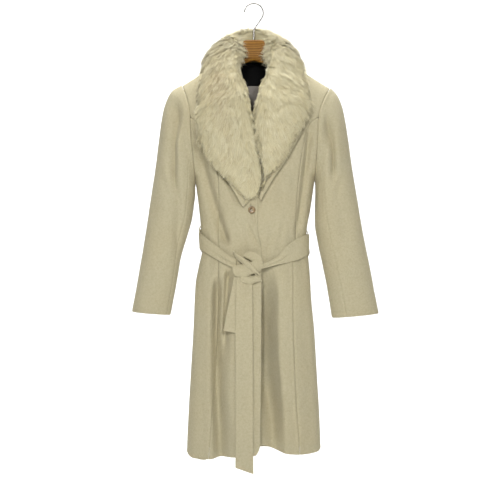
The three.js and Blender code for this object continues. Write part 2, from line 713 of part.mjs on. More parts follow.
function beltTail({ left, right, top, end, stand }, grow = 0) {
  const layer = (lift) => grid(22, 4, (v, u) => {
    const z = lerp(lerp(top[0], top[1], u) + grow, lerp(end[0], end[1], u), v);
    const x = lerp(left(z) - grow, right(z) + grow, u);
    return onBody(x, z, lift);
  });
  return slab(layer(stand + BELT_THICKNESS + grow), layer(stand - grow));
}

// The knot: a wrap running down to the right, the band that crosses it and the loop under it
function beltKnot(cuts) {
  const onKnot = (x, z, axisX, axisZ, thick, stand) => ({
    centre: [x, frontY(x, z) - stand, z], axis: [axisX, 0, axisZ], thick,
  });
  const wrap = [
    onKnot(-47, -693, -4, 12, 6, 10),
    onKnot(-30, -703, -10, 18, 9, 14),
    onKnot(-8, -718, -13, 20, 10, 17),
    onKnot(8, -735, -13, 18, 9, 14),
    onKnot(12, -752, -10, 9, 6, 9),
  ];
  const cross = [
    onKnot(17, -722, 5, 14, 6, 9),
    onKnot(-4, -728, 4, 20, 9, 12),
    onKnot(-28, -733, -2, 20, 9, 12),
    onKnot(-55, -733, -4, 13, 5, 8),
  ];
  const under = [
    onKnot(-34, -752, 4, 10, 6, 10),
    onKnot(-12, -756, 1, 10, 7, 12),
    onKnot(13, -748, -4, 10, 6, 10),
  ];
  let knot = [wrap, cross, under].map((stations) => toManifold(ovalLoft(stations, 6, 9)))
    .reduce((all, band) => all.add(band));
  for (const cut of cuts) knot = knot.subtract(cut);
  const pieces = knot.decompose().sort((a, b) => b.volume() - a.volume());
  return fromManifold(pieces[0]);
}

// A carrier that holds the belt at a side seam
function beltLoop(theta, middle) {
  const height = 72;
  const halfAngle = 0.07;
  const thickness = 1.6;
  const stand = BELT_SEAT + BELT_THICKNESS + 0.7;
  const layer = (extra) => grid(12, 2, (v, u) => {
    const ends = Math.min(smooth(0, 0.1, v), smooth(0, 0.1, 1 - v));
    const z = middle + height * (0.5 - v);
    const lift = SEAT + (stand - SEAT) * ends + extra;
    return bodyPoint(theta + halfAngle * (u - 0.5), z - UNDERARM, lift, false);
  });
  return slab(layer(thickness), layer(0));
}

// Lining that shows in the neck, inside the back, and the label on it
function liningPatch({ halfWidth: half, top, cornerDrop, bottom, thickness }, depth, columns, rows) {
  const layer = (lift) => grid(rows, columns, (v, u) => {
    const x = lerp(-half, half, u);
    const z = lerp(top - cornerDrop * (x / half) ** 2, bottom, v);
    return onBody(x, z, lift, false);
  });
  return slab(layer(-depth), layer(-depth - thickness));
}
const LINING_DEPTH = WALL + LINING_SEAT;
const LINING = { halfWidth: 62, top: -154, cornerDrop: 26, bottom: -330, thickness: 1.2 };
const LABEL = { halfWidth: 35, top: -152, cornerDrop: 4, bottom: -217, thickness: 0.8 };

// The hanger: upper and lower edge and half depth by distance from the middle
const HANGER_HALF_LENGTH = 193;
const hangerTop = track([[0, -98.5], [22, -98.8], [29, -103], [31.5, -112], [33, -132], [38, -139.5],
  [75, -159.3], [120, -181.2], [145, -199.5], [186, -226.2], [191, -232], [193, -237]]);
const hangerBottom = track([[0, -155.6], [29, -164], [60, -178], [100, -196], [150, -222], [186, -243],
  [191, -242], [193, -240]]);
const hangerDepth = track([[0, 7], [33, 7], [75, 8], [145, 11], [184, 11.5], [191, 8], [193, 4]]);
const HANGER_STATIONS = [0, 12, 22, 29, 31.5, 33, 38, 56, 75, 98, 120, 145, 166, 180, 186, 191, 193];

function hanger(grow = 0) {
  const mirrored = HANGER_STATIONS.slice(1).reverse().map((x) => -x);
  const rings = [...mirrored, ...HANGER_STATIONS].map((x) => {
    const distance = Math.abs(x);
    const top = hangerTop(distance) + grow;
    const bottom = hangerBottom(distance) - grow;
    const half = hangerDepth(distance) + grow;
    const stretch = 1 + grow / HANGER_HALF_LENGTH;
    return Array.from({ length: 12 }, (_, k) => {
      const angle = k / 12 * 2 * Math.PI;
      const round = (value) => Math.sign(value) * Math.abs(value) ** 0.85;
      const y = half * round(Math.cos(angle));
      const z = (top + bottom) / 2 + (top - bottom) / 2 * round(Math.sin(angle));
      return new THREE.Vector3(x * stretch, y, z);
    });
  });
  return loft(rings);
}

// The hook's bend from its round part down to its stem, as [x, z]
const HOOK_STEM = [[21.3, -38.9], [12, -53], [3.5, -65.5], [0.6, -74], [0, -84]];

function hook() {
  const arc = [];
  for (let angle = HOOK.from; angle > HOOK.to; angle -= HOOK.step) {
    arc.push([HOOK.radius * Math.cos(radians(angle)), HOOK.centre + HOOK.radius * Math.sin(radians(angle))]);
  }
  const points = [...arc, ...HOOK_STEM, [0, HOOK.foot]].map(([x, z]) => new THREE.Vector3(x, 0, z));
  const section = new THREE.Shape();
  section.absarc(0, 0, HOOK.wire, 0, 2 * Math.PI);
  const geometry = new THREE.ExtrudeGeometry(section, {
    steps: 40,
    curveSegments: 4,
    bevelEnabled: false,
    extrudePath: new THREE.CatmullRomCurve3(points, false, "centripetal"),
  });
  return fromManifold(toManifold(geometry));
}

// The open buttonhole: a slot that leans to the right on its way down
const BUTTONHOLE = { halfWidth: 2.6, halfLength: 29, lean: 13, right: 3, down: 13, cut: 60 };

function buttonhole() {
  const { halfWidth: half, halfLength, lean, right, down, cut } = BUTTONHOLE;
  const slot = new THREE.Shape();
  slot.absellipse(0, 0, half, halfLength, 0, 2 * Math.PI);
  const geometry = new THREE.ExtrudeGeometry(slot, { depth: cut, curveSegments: 10, bevelEnabled: false });
  geometry.rotateX(Math.PI / 2);
  geometry.rotateY(radians(-lean));
  geometry.translate(BUTTON.x + right, frontY(BUTTON.x, BUTTON.z) + cut / 2, BUTTON.z - down);
  return toManifold(geometry);
}

// The button's half section, from the middle of its back round its rim to its dished face
const BUTTON_PROFILE = [[0, 0], [9, 0], [10, 1], [10, 2.4], [9, 3.6], [7.6, 3.2], [6, 2.4], [0, 2.4]];

function button() {
  const disc = new THREE.LatheGeometry(BUTTON_PROFILE.map(([r, y]) => new THREE.Vector2(r, y)), 18);
  disc.rotateX(Math.PI);
  const cloth = onBody(BUTTON.x, BUTTON.z, overLift(BUTTON.x, BUTTON.z)).y;
  const backFace = cloth - 2 * SEAT;
  const shankLength = frontY(BUTTON.x, BUTTON.z) - SEAT - backFace;
  const cylinder = (radius, length, x, y, z) => {
    const geometry = new THREE.CylinderGeometry(radius, radius, length, 8);
    geometry.translate(x, y, z);
    return toManifold(geometry);
  };
  const shank = cylinder(BUTTON.shank, shankLength + 1, 0, shankLength / 2 - 0.5, 0);
  let body = toManifold(solidAgain(disc)).add(shank);
  for (const [x, z] of [[1, 1], [1, -1], [-1, 1], [-1, -1]]) {
    body = body.subtract(cylinder(BUTTON.hole, 6, x * BUTTON.holeSpread, -1, z * BUTTON.holeSpread));
  }
  const geometry = fromManifold(body);
  geometry.translate(BUTTON.x, backFace, BUTTON.z);
  return geometry;
}

const coat = new THREE.Group();

function add(name, geometry, colour) {
  const mesh = new THREE.Mesh(geometry, new THREE.MeshStandardMaterial(COLOURS[colour]));
  mesh.name = name;
  coat.add(mesh);
}

const furCore = bodyCore((x, z) => FUR_CLEARANCE + coverLift(x, z), 0.8, -612);
const knotCore = bodyCore((x, z) => SEAT + coverLift(x, z), 0.8, -800);
const hangerRoom = toManifold(hanger(1));
const leftCollarRoom = toManifold(ovalLoft(COLLAR.left, COLLAR_RINGS, COLLAR_POINTS, 0.6));

add("front_over", fromManifold(toManifold(frontOver()).subtract(buttonhole())), "wool");
add("front_over_side", frontSide("left"), "wool");
add("front_under", frontUnder(), "wool");
add("front_under_side", frontSide("right"), "wool");
for (const side of ["left", "right"]) {
  add(`back_${side}`, back(side), "wool");
  // The right top sleeve is two solids, so that each keeps the hollow of the arm open
  if (side === "right") {
    add("sleeve_right_top", sleevePiece(side, true, 0, SLEEVE_PART), "wool");
    add("sleeve_right_top_low", sleevePiece(side, true, SLEEVE_PART + SLEEVE_PART_GAP, 1), "wool");
  } else {
    add("sleeve_left_top", sleevePiece(side, true), "wool");
  }
  add(`sleeve_${side}_under`, sleevePiece(side, false), "wool");
  add(`lapel_${side}`, lapel(side), "wool");
  add(`belt_${side}_strand`, beltStrand(side), "wool");
}
add("fur_collar_left", collarPiece("left", [furCore, hangerRoom]), "fur");
add("fur_collar_right", collarPiece("right", [furCore, hangerRoom, leftCollarRoom]), "fur");
add("belt_back", beltBack(), "wool");
add("belt_tail_long", beltTail(TAILS.long), "wool");
add("belt_tail_short", beltTail(TAILS.short), "wool");
add("belt_knot", beltKnot([
  knotCore,
  toManifold(beltStrand("left", 0.8)),
  toManifold(beltStrand("right", 0.8)),
  toManifold(beltTail(TAILS.long, 0.4)),
  toManifold(beltTail(TAILS.short, 0.4)),
]), "wool");
add("belt_loop_left", beltLoop(radians(-84), -646), "wool");
add("belt_loop_right", beltLoop(radians(96), -658), "wool");
add("back_neck_lining", liningPatch(LINING, LINING_DEPTH, 8, 12), "lining");
add("neck_label", liningPatch(LABEL, LINING_DEPTH + LINING.thickness + LABEL_SEAT, 6, 6), "label");
add("button", button(), "horn");
add("hanger_wood", hanger(), "wood");
add("hook", hook(), "chrome");

export default coat;
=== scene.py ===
import math
from collections import namedtuple

import bmesh
import bpy
import numpy as np
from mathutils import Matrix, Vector


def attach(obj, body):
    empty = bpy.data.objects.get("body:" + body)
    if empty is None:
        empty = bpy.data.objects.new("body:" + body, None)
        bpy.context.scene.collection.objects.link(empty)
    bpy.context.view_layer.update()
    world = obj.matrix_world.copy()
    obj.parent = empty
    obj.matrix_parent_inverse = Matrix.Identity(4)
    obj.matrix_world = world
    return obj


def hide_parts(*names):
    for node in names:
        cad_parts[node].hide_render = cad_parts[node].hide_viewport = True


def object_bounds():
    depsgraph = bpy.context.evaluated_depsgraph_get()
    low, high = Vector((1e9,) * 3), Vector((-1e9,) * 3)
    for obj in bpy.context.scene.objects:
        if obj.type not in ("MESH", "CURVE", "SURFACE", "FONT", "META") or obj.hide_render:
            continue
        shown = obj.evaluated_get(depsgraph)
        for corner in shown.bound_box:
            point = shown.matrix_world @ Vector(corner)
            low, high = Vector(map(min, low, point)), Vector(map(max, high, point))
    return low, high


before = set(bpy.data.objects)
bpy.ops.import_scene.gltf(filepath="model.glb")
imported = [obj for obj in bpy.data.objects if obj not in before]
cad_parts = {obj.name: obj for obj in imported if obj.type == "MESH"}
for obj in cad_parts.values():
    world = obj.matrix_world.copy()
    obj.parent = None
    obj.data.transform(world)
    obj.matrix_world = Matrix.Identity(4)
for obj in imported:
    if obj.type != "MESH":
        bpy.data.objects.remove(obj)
cad_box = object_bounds()
MM = 0.001
BODY = "root"

# Driving dimensions, as in the part's source
CLOTH = 2.2
SEAM_GAP = 0.5
SIDE_GAP = 0.35
UNDERARM = -478.0
YOKE = 300.0
CHEST_FRONT = 78.0
CHEST_BACK = 58.0
ARMHOLE_FRONT = 58.0
ARMHOLE_BACK = 50.0
BACK_NECK_RISE = 0.944
NECK_HALF_WIDTH = 70.0
OVERLAP_LIFT = 3.2
OVERLAP_EDGE_BULGE = 1.6
BUTTON_X, BUTTON_Z = -6.0, -568.0
SIGN = {"left": -1.0, "right": 1.0}


def smooth(start, end, value):
    t = np.clip((value - start) / (end - start), 0, 1)
    return t * t * (3 - 2 * t)


def bump(distance, half_width):
    return np.exp(-(distance / half_width) ** 2)


def lerp(a, b, t):
    return a + (b - a) * t


def track(pairs):
    """A smooth curve through (place, value) pairs that never overshoots them, for arrays."""
    knots = np.array(sorted(pairs), float)
    place, value = knots[:, 0], knots[:, 1]
    rise = np.diff(value) / np.diff(place)
    slope = np.zeros(len(knots))
    slope[0], slope[-1] = rise[0], rise[-1]
    for i in range(1, len(knots) - 1):
        product = rise[i - 1] * rise[i]
        slope[i] = 0 if product <= 0 else 2 * product / (rise[i - 1] + rise[i])

    def at(where):
        where = np.clip(np.asarray(where, float), place[0], place[-1])
        i = np.clip(np.searchsorted(place, where, side="right") - 1, 0, len(place) - 2)
        span = place[i + 1] - place[i]
        t = (where - place[i]) / span
        t2, t3 = t * t, t * t * t
        return ((2 * t3 - 3 * t2 + 1) * value[i] + (t3 - 2 * t2 + t) * span * slope[i]
                + (3 * t2 - 2 * t3) * value[i + 1] + (t3 - t2) * span * slope[i + 1])
    return at


# Half widths and depths of the body by height, the armhole by its share of the way up
HALF_LEFT = track([(-478, 162), (-532, 154), (-607, 146), (-641, 144), (-674, 142), (-720, 151),
                   (-769, 160), (-896, 166), (-1047, 175), (-1204, 183), (-1240, 184)])
HALF_RIGHT = track([(-478, 168), (-532, 160), (-560, 156), (-632, 145), (-665, 145), (-700, 150),
                    (-745, 154), (-813, 158), (-896, 166), (-1013, 173), (-1130, 180), (-1240, 184)])
FRONT_DEPTH = track([(-478, CHEST_FRONT), (-560, 74), (-640, 64), (-674, 62), (-720, 66),
                     (-800, 72), (-1000, 80), (-1240, 86)])
BACK_DEPTH = track([(-478, CHEST_BACK), (-560, 55), (-674, 50), (-780, 60), (-1000, 68), (-1240, 75)])
ARM_LEFT = track([(0, 162), (0.22, 167), (0.42, 172), (0.63, 174), (0.79, 181), (1, 197)])
ARM_RIGHT = track([(0, 168), (0.22, 172), (0.42, 173), (0.63, 177), (0.79, 188), (1, 209)])
SHOULDER = track([(0, -140), (75, -155), (120, -176), (145, -192.5), (197, -225.5), (212, -234.5)])

# Folds: place of the top and the end, half width at both, depth (a ridge is negative), the lengths
# over which both ends fade, a sideways bow at mid length, and how much steeper one flank is
Fold = namedtuple("Fold", "x0 z0 x1 z1 half0 half1 depth fade0 fade1 bow skew")
FRONT_FOLDS = [
    (-164, -338, -70, -664, 13, 12, 31, 70, 24, -6, 0.35),
    (-140, -350, -52, -655, 14, 13, -3, 90, 60, 4, 0),
    (152, -330, 113, -650, 9, 8, 23, 60, 40, 3, -0.2),
    (168, -330, 132, -640, 12, 12, -2, 60, 40, 0, 0),
    (-99, -728, -90, -1240, 12, 20, 46, 70, 1, -6, -0.25),
    (-118, -740, -112, -1240, 10, 14, -3, 90, 1, 0, 0),
    (-68, -722, -76, -1000, 9, 9, 32, 30, 130, -4, -0.2),
    (132, -760, 152, -1240, 12, 18, 6, 160, 1, 5, 0.2),
    (-101, -425, -36, -566, 8, 7, 9, 40, 30, -2, -0.35),
    (-150, -700, -138, -1240, 9, 16, 4, 60, 1, 4, 0),
    (-128, -600, -104, -640, 6, 5, 3.4, 18, 12, 0, 0),
    (-88, -612, -64, -672, 5, 5, 3.0, 22, 14, 0, 0),
    (-36, -572, -26, -690, 8, 7, 3.4, 30, 12, 3, 0.3),
    (46, -620, 34, -700, 7, 6, 3.4, 30, 16, 2, 0),
    (82, -590, 66, -690, 6, 5, 3.2, 30, 16, -2, 0),
    (134, -560, 122, -650, 7, 6, 3, 36, 18, 3, 0),
    (66, -716, 72, -800, 6, 8, 4, 14, 50, 2, 0),
    (98, -706, 104, -800, 6, 9, 4.2, 14, 60, -2, 0),
    (128, -698, 134, -780, 6, 8, 3.6, 14, 50, 2, 0),
    (-122, -692, -126, -790, 6, 9, 4.2, 14, 60, 3, 0),
    (-38, -770, -40, -900, 6, 9, 2.2, 20, 80, 2, 0),
    (112, -1010, 108, -1240, 12, 16, 3, 120, 1, 0, 0),
    (60, -430, 76, -560, 12, 12, 1.8, 50, 60, 4, 0),
    (186, -360, 172, -470, 9, 8, 5, 40, 40, 0, 0),
]
# The under front's long trough beside the overlap: its deepest line, outer edge and depth by height,
# how steeply its outer wall bends, and how far it eases inward and outward
TROUGH_LOW = track([(-1240, 60), (-1116, 52), (-1033, 36), (-951, 22), (-745, 20)])
TROUGH_HIGH = track([(-1240, 84), (-1116, 81), (-1033, 75), (-951, 69), (-745, 66)])
TROUGH_DEPTH = track([(-1240, 44), (-1116, 54), (-951, 60), (-850, 57), (-780, 42), (-728, 14),
                      (-690, 0)])
TROUGH_BEND, TROUGH_ROUNDING = 2.2, 0.012
TROUGH_INWARD_EASE, TROUGH_INWARD_REACH = 0.45, 42
TROUGH_OUTER_FADE = (1.05, 1.6)
BACK_FOLDS = [
    (-70, -720, -88, -1240, 14, 22, 12, 160, 1, -5, 0.2),
    (60, -720, 96, -1240, 14, 22, 14, 160, 1, 5, -0.2),
    (-120, -420, -60, -640, 14, 12, 5, 70, 40, 6, 0),
    (126, -420, 70, -640, 14, 12, 5, 70, 40, -6, 0),
    (-8, -700, -14, -1240, 12, 16, 5, 120, 1, 4, 0),
    (-128, -710, -142, -1240, 10, 16, 6, 90, 1, -4, 0),
    (124, -700, 142, -1240, 10, 16, 6, 90, 1, 4, 0),
    (-40, -560, -30, -630, 6, 5, 2.4, 26, 14, 0, 0),
    (32, -570, 24, -632, 6, 5, 2.4, 26, 14, 0, 0),
    (-96, -590, -84, -636, 6, 5, 2.6, 20, 12, 0, 0),
    (90, -590, 80, -640, 6, 5, 2.6, 20, 12, 0, 0),
    (-104, -690, -106, -780, 6, 8, 3, 12, 50, 0, 0),
    (-44, -688, -48, -790, 6, 9, 3, 12, 60, 2, 0),
    (26, -690, 28, -780, 6, 9, 3, 12, 60, -2, 0),
    (100, -692, 104, -800, 6, 8, 3, 12, 50, 0, 0),
    (-60, -250, -30, -360, 18, 16, 2, 50, 60, 6, 0),
    (64, -250, 36, -360, 18, 16, 2, 50, 60, -6, 0),
]


def fold_depth(folds, x, z):
    total = np.zeros(np.broadcast(x, z).shape)
    for f in (Fold(*row) for row in folds):
        t = (z - f.z0) / (f.z1 - f.z0)
        length = abs(f.z1 - f.z0)
        inside = (t >= 0) & (t <= 1)
        fade = smooth(0, f.fade0, t * length)
        if f.fade1 > 1:
            fade = fade * smooth(0, f.fade1, (1 - t) * length)
        centre = lerp(f.x0, f.x1, t) + f.bow * np.sin(np.clip(t, 0, 1) * math.pi)
        half = lerp(f.half0, f.half1, np.clip(t, 0, 1))
        across = (x - centre) / half
        across = across * (1 + f.skew * np.tanh(across))
        total = total + np.where(inside, f.depth * fade * np.exp(-across ** 2), 0)
    return total


def under_trough(x, z):
    low = TROUGH_LOW(z)
    t = (x - low) / (TROUGH_HIGH(z) - low)
    inward = 1 - TROUGH_INWARD_EASE * smooth(0, TROUGH_INWARD_REACH, low - x)
    share = np.where(t > 0, 1 - np.clip(t, 0, 3) ** TROUGH_BEND, inward)
    rounded = (share + np.sqrt(share ** 2 + TROUGH_ROUNDING)) / 2
    return -TROUGH_DEPTH(z) * rounded * (1 - smooth(*TROUGH_OUTER_FADE, t))


# Fine unevenness of hung cloth: slow waves of a fraction of a millimetre
WAVES = [(0.021, 0.0062, 0.4, 0.9), (0.034, -0.0085, 2.1, 0.6), (0.057, 0.011, 4.0, 0.35),
         (0.012, 0.019, 1.2, 0.6), (0.083, 0.006, 5.1, 0.2)]


def uneven(a, z):
    return sum(size * np.sin(ka * a * math.tau + kz * z * math.tau + phase)
               for ka, kz, phase, size in WAVES) * 0.6


def power_sum(f, count):
    return sum(f ** k for k in range(count))


def armhole_share(f, front):
    return np.where(front,
                    4 * ARMHOLE_FRONT ** 2 * f / (CHEST_FRONT ** 2 * power_sum(f, 4)),
                    4 * ARMHOLE_BACK ** 2 * f / (CHEST_BACK ** 2 * power_sum(f, 12)))


def section_width(s, left, front):
    low_z = UNDERARM + np.minimum(s, 0)
    f = np.clip(s, 0, YOKE) / YOKE
    low = np.where(left, HALF_LEFT(low_z), HALF_RIGHT(low_z))
    high = np.where(left, ARM_LEFT(f), ARM_RIGHT(f)) / np.sqrt(1 - armhole_share(f, front))
    return np.where(s <= 0, low, high)


def surface(theta, s, folded=True):
    """The body's outer surface. theta 0 is the front middle, pi the back middle. s is the height
    under the underarm where negative, and runs to YOKE at the shoulder seam where positive."""
    theta, s = np.broadcast_arrays(np.asarray(theta, float), np.asarray(s, float))
    left = np.sin(theta) < 0
    front = np.cos(theta) >= 0
    f = np.clip(s, 0, YOKE) / YOKE
    x = section_width(s, left, front) * np.sin(theta)
    z = np.where(s <= 0, UNDERARM + s, lerp(UNDERARM, SHOULDER(np.abs(x)), f))
    low = np.where(front, FRONT_DEPTH(z), BACK_DEPTH(z))
    high = np.where(front, CHEST_FRONT * np.sqrt(1 - f ** 4), CHEST_BACK * np.sqrt(1 - f ** 12))
    depth = np.where(s <= 0, low, high)
    fold = 0
    if folded:
        ease = 1 - smooth(0.75, 0.98, f)
        fold = np.where(front, fold_depth(FRONT_FOLDS, x, z), fold_depth(BACK_FOLDS, x, z))
        fold = fold + uneven(x, z) * ease
    y = np.where(front, -1.0, 1.0) * (SIDE_GAP + (depth - fold) * np.abs(np.cos(theta)))
    return np.stack([x, y, z], axis=-1)


def body_point(theta, s, lift, folded=True):
    """The same point moved by lift along the normal of the body without its folds."""
    theta, s = np.broadcast_arrays(np.asarray(theta, float), np.asarray(s, float))
    step, rise, quarter = 0.006, 0.4, math.pi / 2
    low = np.where(np.cos(theta) >= 0, -quarter, quarter + 1e-6)
    high = low + math.pi - 2e-6
    around = surface(np.clip(theta + step, low, high), s, False)
    around = around - surface(np.clip(theta - step, low, high), s, False)
    up = surface(theta, np.minimum(s + rise, YOKE), False) - surface(theta, s - rise, False)
    normal = np.cross(around, up)
    normal /= np.maximum(np.linalg.norm(normal, axis=-1, keepdims=True), 1e-9)
    return surface(theta, s, folded) + normal * np.asarray(lift)[..., None]


def place_of(x, z, front=True):
    s = np.where(z <= UNDERARM, z - UNDERARM,
                 YOKE * (z - UNDERARM) / (SHOULDER(np.abs(x)) - UNDERARM))
    theta = np.arcsin(np.clip(x / section_width(s, x < 0, front), -1, 1))
    return (theta if front else math.pi - theta), s


def on_body(x, z, lift, front=True):
    theta, s = place_of(x, z, front)
    return body_point(theta, s, lift, False)


def theta_of(x, s):
    return np.arcsin(np.clip(x / section_width(s, x < 0, True), -1, 1))


def armhole_theta(s, left, front):
    f = np.clip(s, 0, YOKE) / YOKE
    theta = np.arcsin(np.sqrt(1 - armhole_share(f, front)))
    theta = np.where(s <= 0, math.pi / 2 - 1e-6, theta)
    if front:
        return -theta if left else theta
    return math.pi + theta if left else math.pi - theta


def arc_angle(theta, s, length):
    point = surface(theta, s, False)
    width = section_width(s, np.sin(theta) < 0, np.cos(theta) >= 0)
    depth = np.abs(point[..., 1]) / np.maximum(np.abs(np.cos(theta)), 1e-3)
    span = np.hypot(width * np.cos(theta), depth * np.sin(theta))
    return length / np.maximum(10, span)


# Seams and edges as x by arc place
OVER_EDGE = track([(300, -70), (262, -55), (223, -38), (163, -14), (98, -2), (12, 10), (-89, 11),
                   (-104, 9.5), (-146, 11), (-181, 18), (-216, 20.5), (-272, 20), (-522, 19), (-760, 16)])
UNDER_EDGE = track([(300, 70), (262, 55), (223, 38), (163, 20), (98, 5), (12, -8), (-89, -20),
                    (-130, -50), (-760, -50)])
PRINCESS_LEFT = track([(300, -330), (180, -172), (147, -148), (111, -128), (75, -112), (45, -102),
                       (0, -97), (-172, -96), (-484, -102), (-760, -123)])
PRINCESS_RIGHT = track([(300, 330), (180, 174.6), (154, 152), (75, 132), (0, 122), (-71, 117),
                        (-172, 114), (-212, 106), (-335, 106), (-602, 114), (-760, 126)])
HEM_OVER = track([(-187, -1224), (-178, -1236), (-165, -1241), (-130, -1240), (-61, -1233), (4, -1225),
                  (12, -1214), (16, -1201)])
HEM_UNDER = track([(-50, -1190), (20, -1200), (54, -1211), (97, -1225), (139, -1228), (175, -1225),
                   (187, -1217)])
HEM_BACK = track([(-187, -1224), (-178, -1228), (0, -1230), (175, -1222), (187, -1217)])
SIDE_TIP = 178.0


def over_lift(x, z):
    edge = OVERLAP_EDGE_BULGE * bump(x - 8, 26) * bump(z - BUTTON_Z, 60)
    return OVERLAP_LIFT * smooth(-95, -58, x) * (1 - smooth(-330, -250, z)) + edge


def cover_lift(x, z):
    _, s = place_of(x, z)
    edge = OVER_EDGE(s)
    return over_lift(x, z) * (1 - smooth(edge + 2, edge + 18, x))


# Making meshes
def make_object(name, vertices, faces):
    mesh = bpy.data.meshes.new(name)
    mesh.from_pydata((np.asarray(vertices, float).reshape(-1, 3) * MM).tolist(), [], faces)
    mesh.validate()
    mesh.polygons.foreach_set("use_smooth", [True] * len(mesh.polygons))
    mesh.update()
    made = bpy.data.objects.new(name, mesh)
    bpy.context.scene.collection.objects.link(made)
    return made


def grid_faces(rows, columns, wrap=False, offset=0):
    i, j = np.meshgrid(np.arange(rows - 1), np.arange(columns if wrap else columns - 1), indexing="ij")
    k = (j + 1) % columns
    faces = np.stack([i * columns + j, i * columns + k, (i + 1) * columns + k, (i + 1) * columns + j], -1)
    return (faces.reshape(-1, 4) + offset).tolist()


def apply_modifiers(made):
    depsgraph = bpy.context.evaluated_depsgraph_get()
    shaped = bpy.data.meshes.new_from_object(made.evaluated_get(depsgraph))
    made.modifiers.clear()
    made.data = shaped
    return shaped


def sheet_object(name, points, thickness=CLOTH):
    """A thin cloth shell: the grid of points is its outer face."""
    rows, columns = points.shape[:2]
    made = make_object(name, points, grid_faces(rows, columns))
    shell = made.modifiers.new("cloth", "SOLIDIFY")
    shell.thickness = thickness * MM
    shell.offset = -1
    return made


def grid_area(points):
    """Area of a grid of points in square metres, and its longest width and length in metres."""
    across = np.linalg.norm(np.diff(points, axis=1), axis=-1).sum(axis=1) * MM
    along = np.linalg.norm(np.diff(points, axis=0), axis=-1).sum(axis=0) * MM
    a = points[1:, :-1] - points[:-1, :-1]
    b = points[:-1, 1:] - points[:-1, :-1]
    c = points[1:, 1:] - points[:-1, 1:]
    twice = np.linalg.norm(np.cross(a, b), axis=-1).sum() + np.linalg.norm(np.cross(c, b), axis=-1).sum()
    return twice / 2 * MM * MM, across.max(), along.max()


def dress(made, slot, material, *nodes):
    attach(made, BODY)
    if nodes:
        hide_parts(*nodes)
    made.data.materials.clear()
    made.data.materials.append(material)
    return made


# A carrier is cut twice as wide as it shows and folded
NARROWEST_CUT = 0.0125


def cloth_piece(name, nodes, points, material, thickness=CLOTH,
                slot="wool_cloth"):
    """A cloth shell that stands for the nodes named in a row with spaces between."""
    made = sheet_object(name, points, thickness)
    dress(made, slot, material, *nodes.split())
    area, width, length = grid_area(points)
    width = max(width, NARROWEST_CUT)
    return made


# Materials
def new_material(name):
    material = bpy.data.materials.new(name)
    material.use_nodes = True
    tree = material.node_tree
    return material, tree, tree.nodes["Principled BSDF"]


def set_inputs(node, values):
    for name, value in values.items():
        node.inputs[name].default_value = value


def place_vector(tree, scale=(1, 1, 1)):
    coordinates = tree.nodes.new("ShaderNodeTexCoord")
    mapping = tree.nodes.new("ShaderNodeMapping")
    mapping.inputs["Scale"].default_value = scale
    tree.links.new(coordinates.outputs["Object"], mapping.inputs["Vector"])
    return mapping.outputs["Vector"]


def noise(tree, vector, scale, detail=3, roughness=0.55, distortion=0.0):
    node = tree.nodes.new("ShaderNodeTexNoise")
    set_inputs(node, {"Scale": scale, "Detail": detail, "Roughness": roughness, "Distortion": distortion})
    tree.links.new(vector, node.inputs["Vector"])
    return node.outputs["Fac"]


def ramp(tree, value, stops):
    node = tree.nodes.new("ShaderNodeValToRGB")
    elements = node.color_ramp.elements
    while len(elements) < len(stops):
        elements.new(0.5)
    for element, (position, colour) in zip(elements, stops):
        element.position = position
        element.color = (*colour, 1)
    tree.links.new(value, node.inputs["Fac"])
    return node.outputs["Color"]


def multiply(tree, first, second, share):
    node = tree.nodes.new("ShaderNodeMix")
    node.data_type = "RGBA"
    node.blend_type = "MULTIPLY"
    node.inputs[0].default_value = share
    tree.links.new(first, node.inputs[6])
    tree.links.new(second, node.inputs[7])
    return node.outputs[2]


def add_values(tree, first, second, weight):
    node = tree.nodes.new("ShaderNodeMath")
    node.operation = "MULTIPLY_ADD"
    tree.links.new(second, node.inputs[0])
    node.inputs[1].default_value = weight
    tree.links.new(first, node.inputs[2])
    return node.outputs[0]


def bump_from(tree, shader, height, strength, distance):
    node = tree.nodes.new("ShaderNodeBump")
    set_inputs(node, {"Strength": strength, "Distance": distance})
    tree.links.new(height, node.inputs["Height"])
    tree.links.new(node.outputs["Normal"], shader.inputs["Normal"])


WOOL_LIGHT = (0.47, 0.425, 0.285)
WOOL_MID = (0.44, 0.397, 0.262)
WOOL_DARK = (0.405, 0.363, 0.235)


def wool_material():
    """Napped melton wool: felted fibres, faint mottling and pilling, soft sheen."""
    material, tree, shader = new_material("wool_melton")
    place = place_vector(tree)
    slow = noise(tree, place, 7, 2)
    mottle = noise(tree, place, 190, 4, 0.7)
    fibres = noise(tree, place_vector(tree, (1, 1, 0.35)), 1500, 3, 0.7, 0.6)
    nap = noise(tree, place, 420, 3, 0.6)
    base = ramp(tree, mottle, [(0.30, WOOL_DARK), (0.47, WOOL_MID), (0.62, WOOL_LIGHT)])
    tint = ramp(tree, slow, [(0.35, (1.0, 0.985, 0.96)), (0.65, (1.0, 1.0, 1.0))])
    coloured = multiply(tree, base, tint, 1.0)
    speck = ramp(tree, fibres, [(0.40, (0.86, 0.85, 0.82)), (0.58, (1.0, 1.0, 1.0))])
    coloured = multiply(tree, coloured, speck, 0.45)
    tree.links.new(coloured, shader.inputs["Base Color"])
    set_inputs(shader, {"Roughness": 0.93, "Specular IOR Level": 0.25, "Sheen Weight": 0.12,
                        "Sheen Roughness": 0.5, "Sheen Tint": (1.0, 0.95, 0.84, 1)})
    height = add_values(tree, fibres, nap, 0.8)
    bump_from(tree, shader, height, 0.42, 0.0007)
    return material


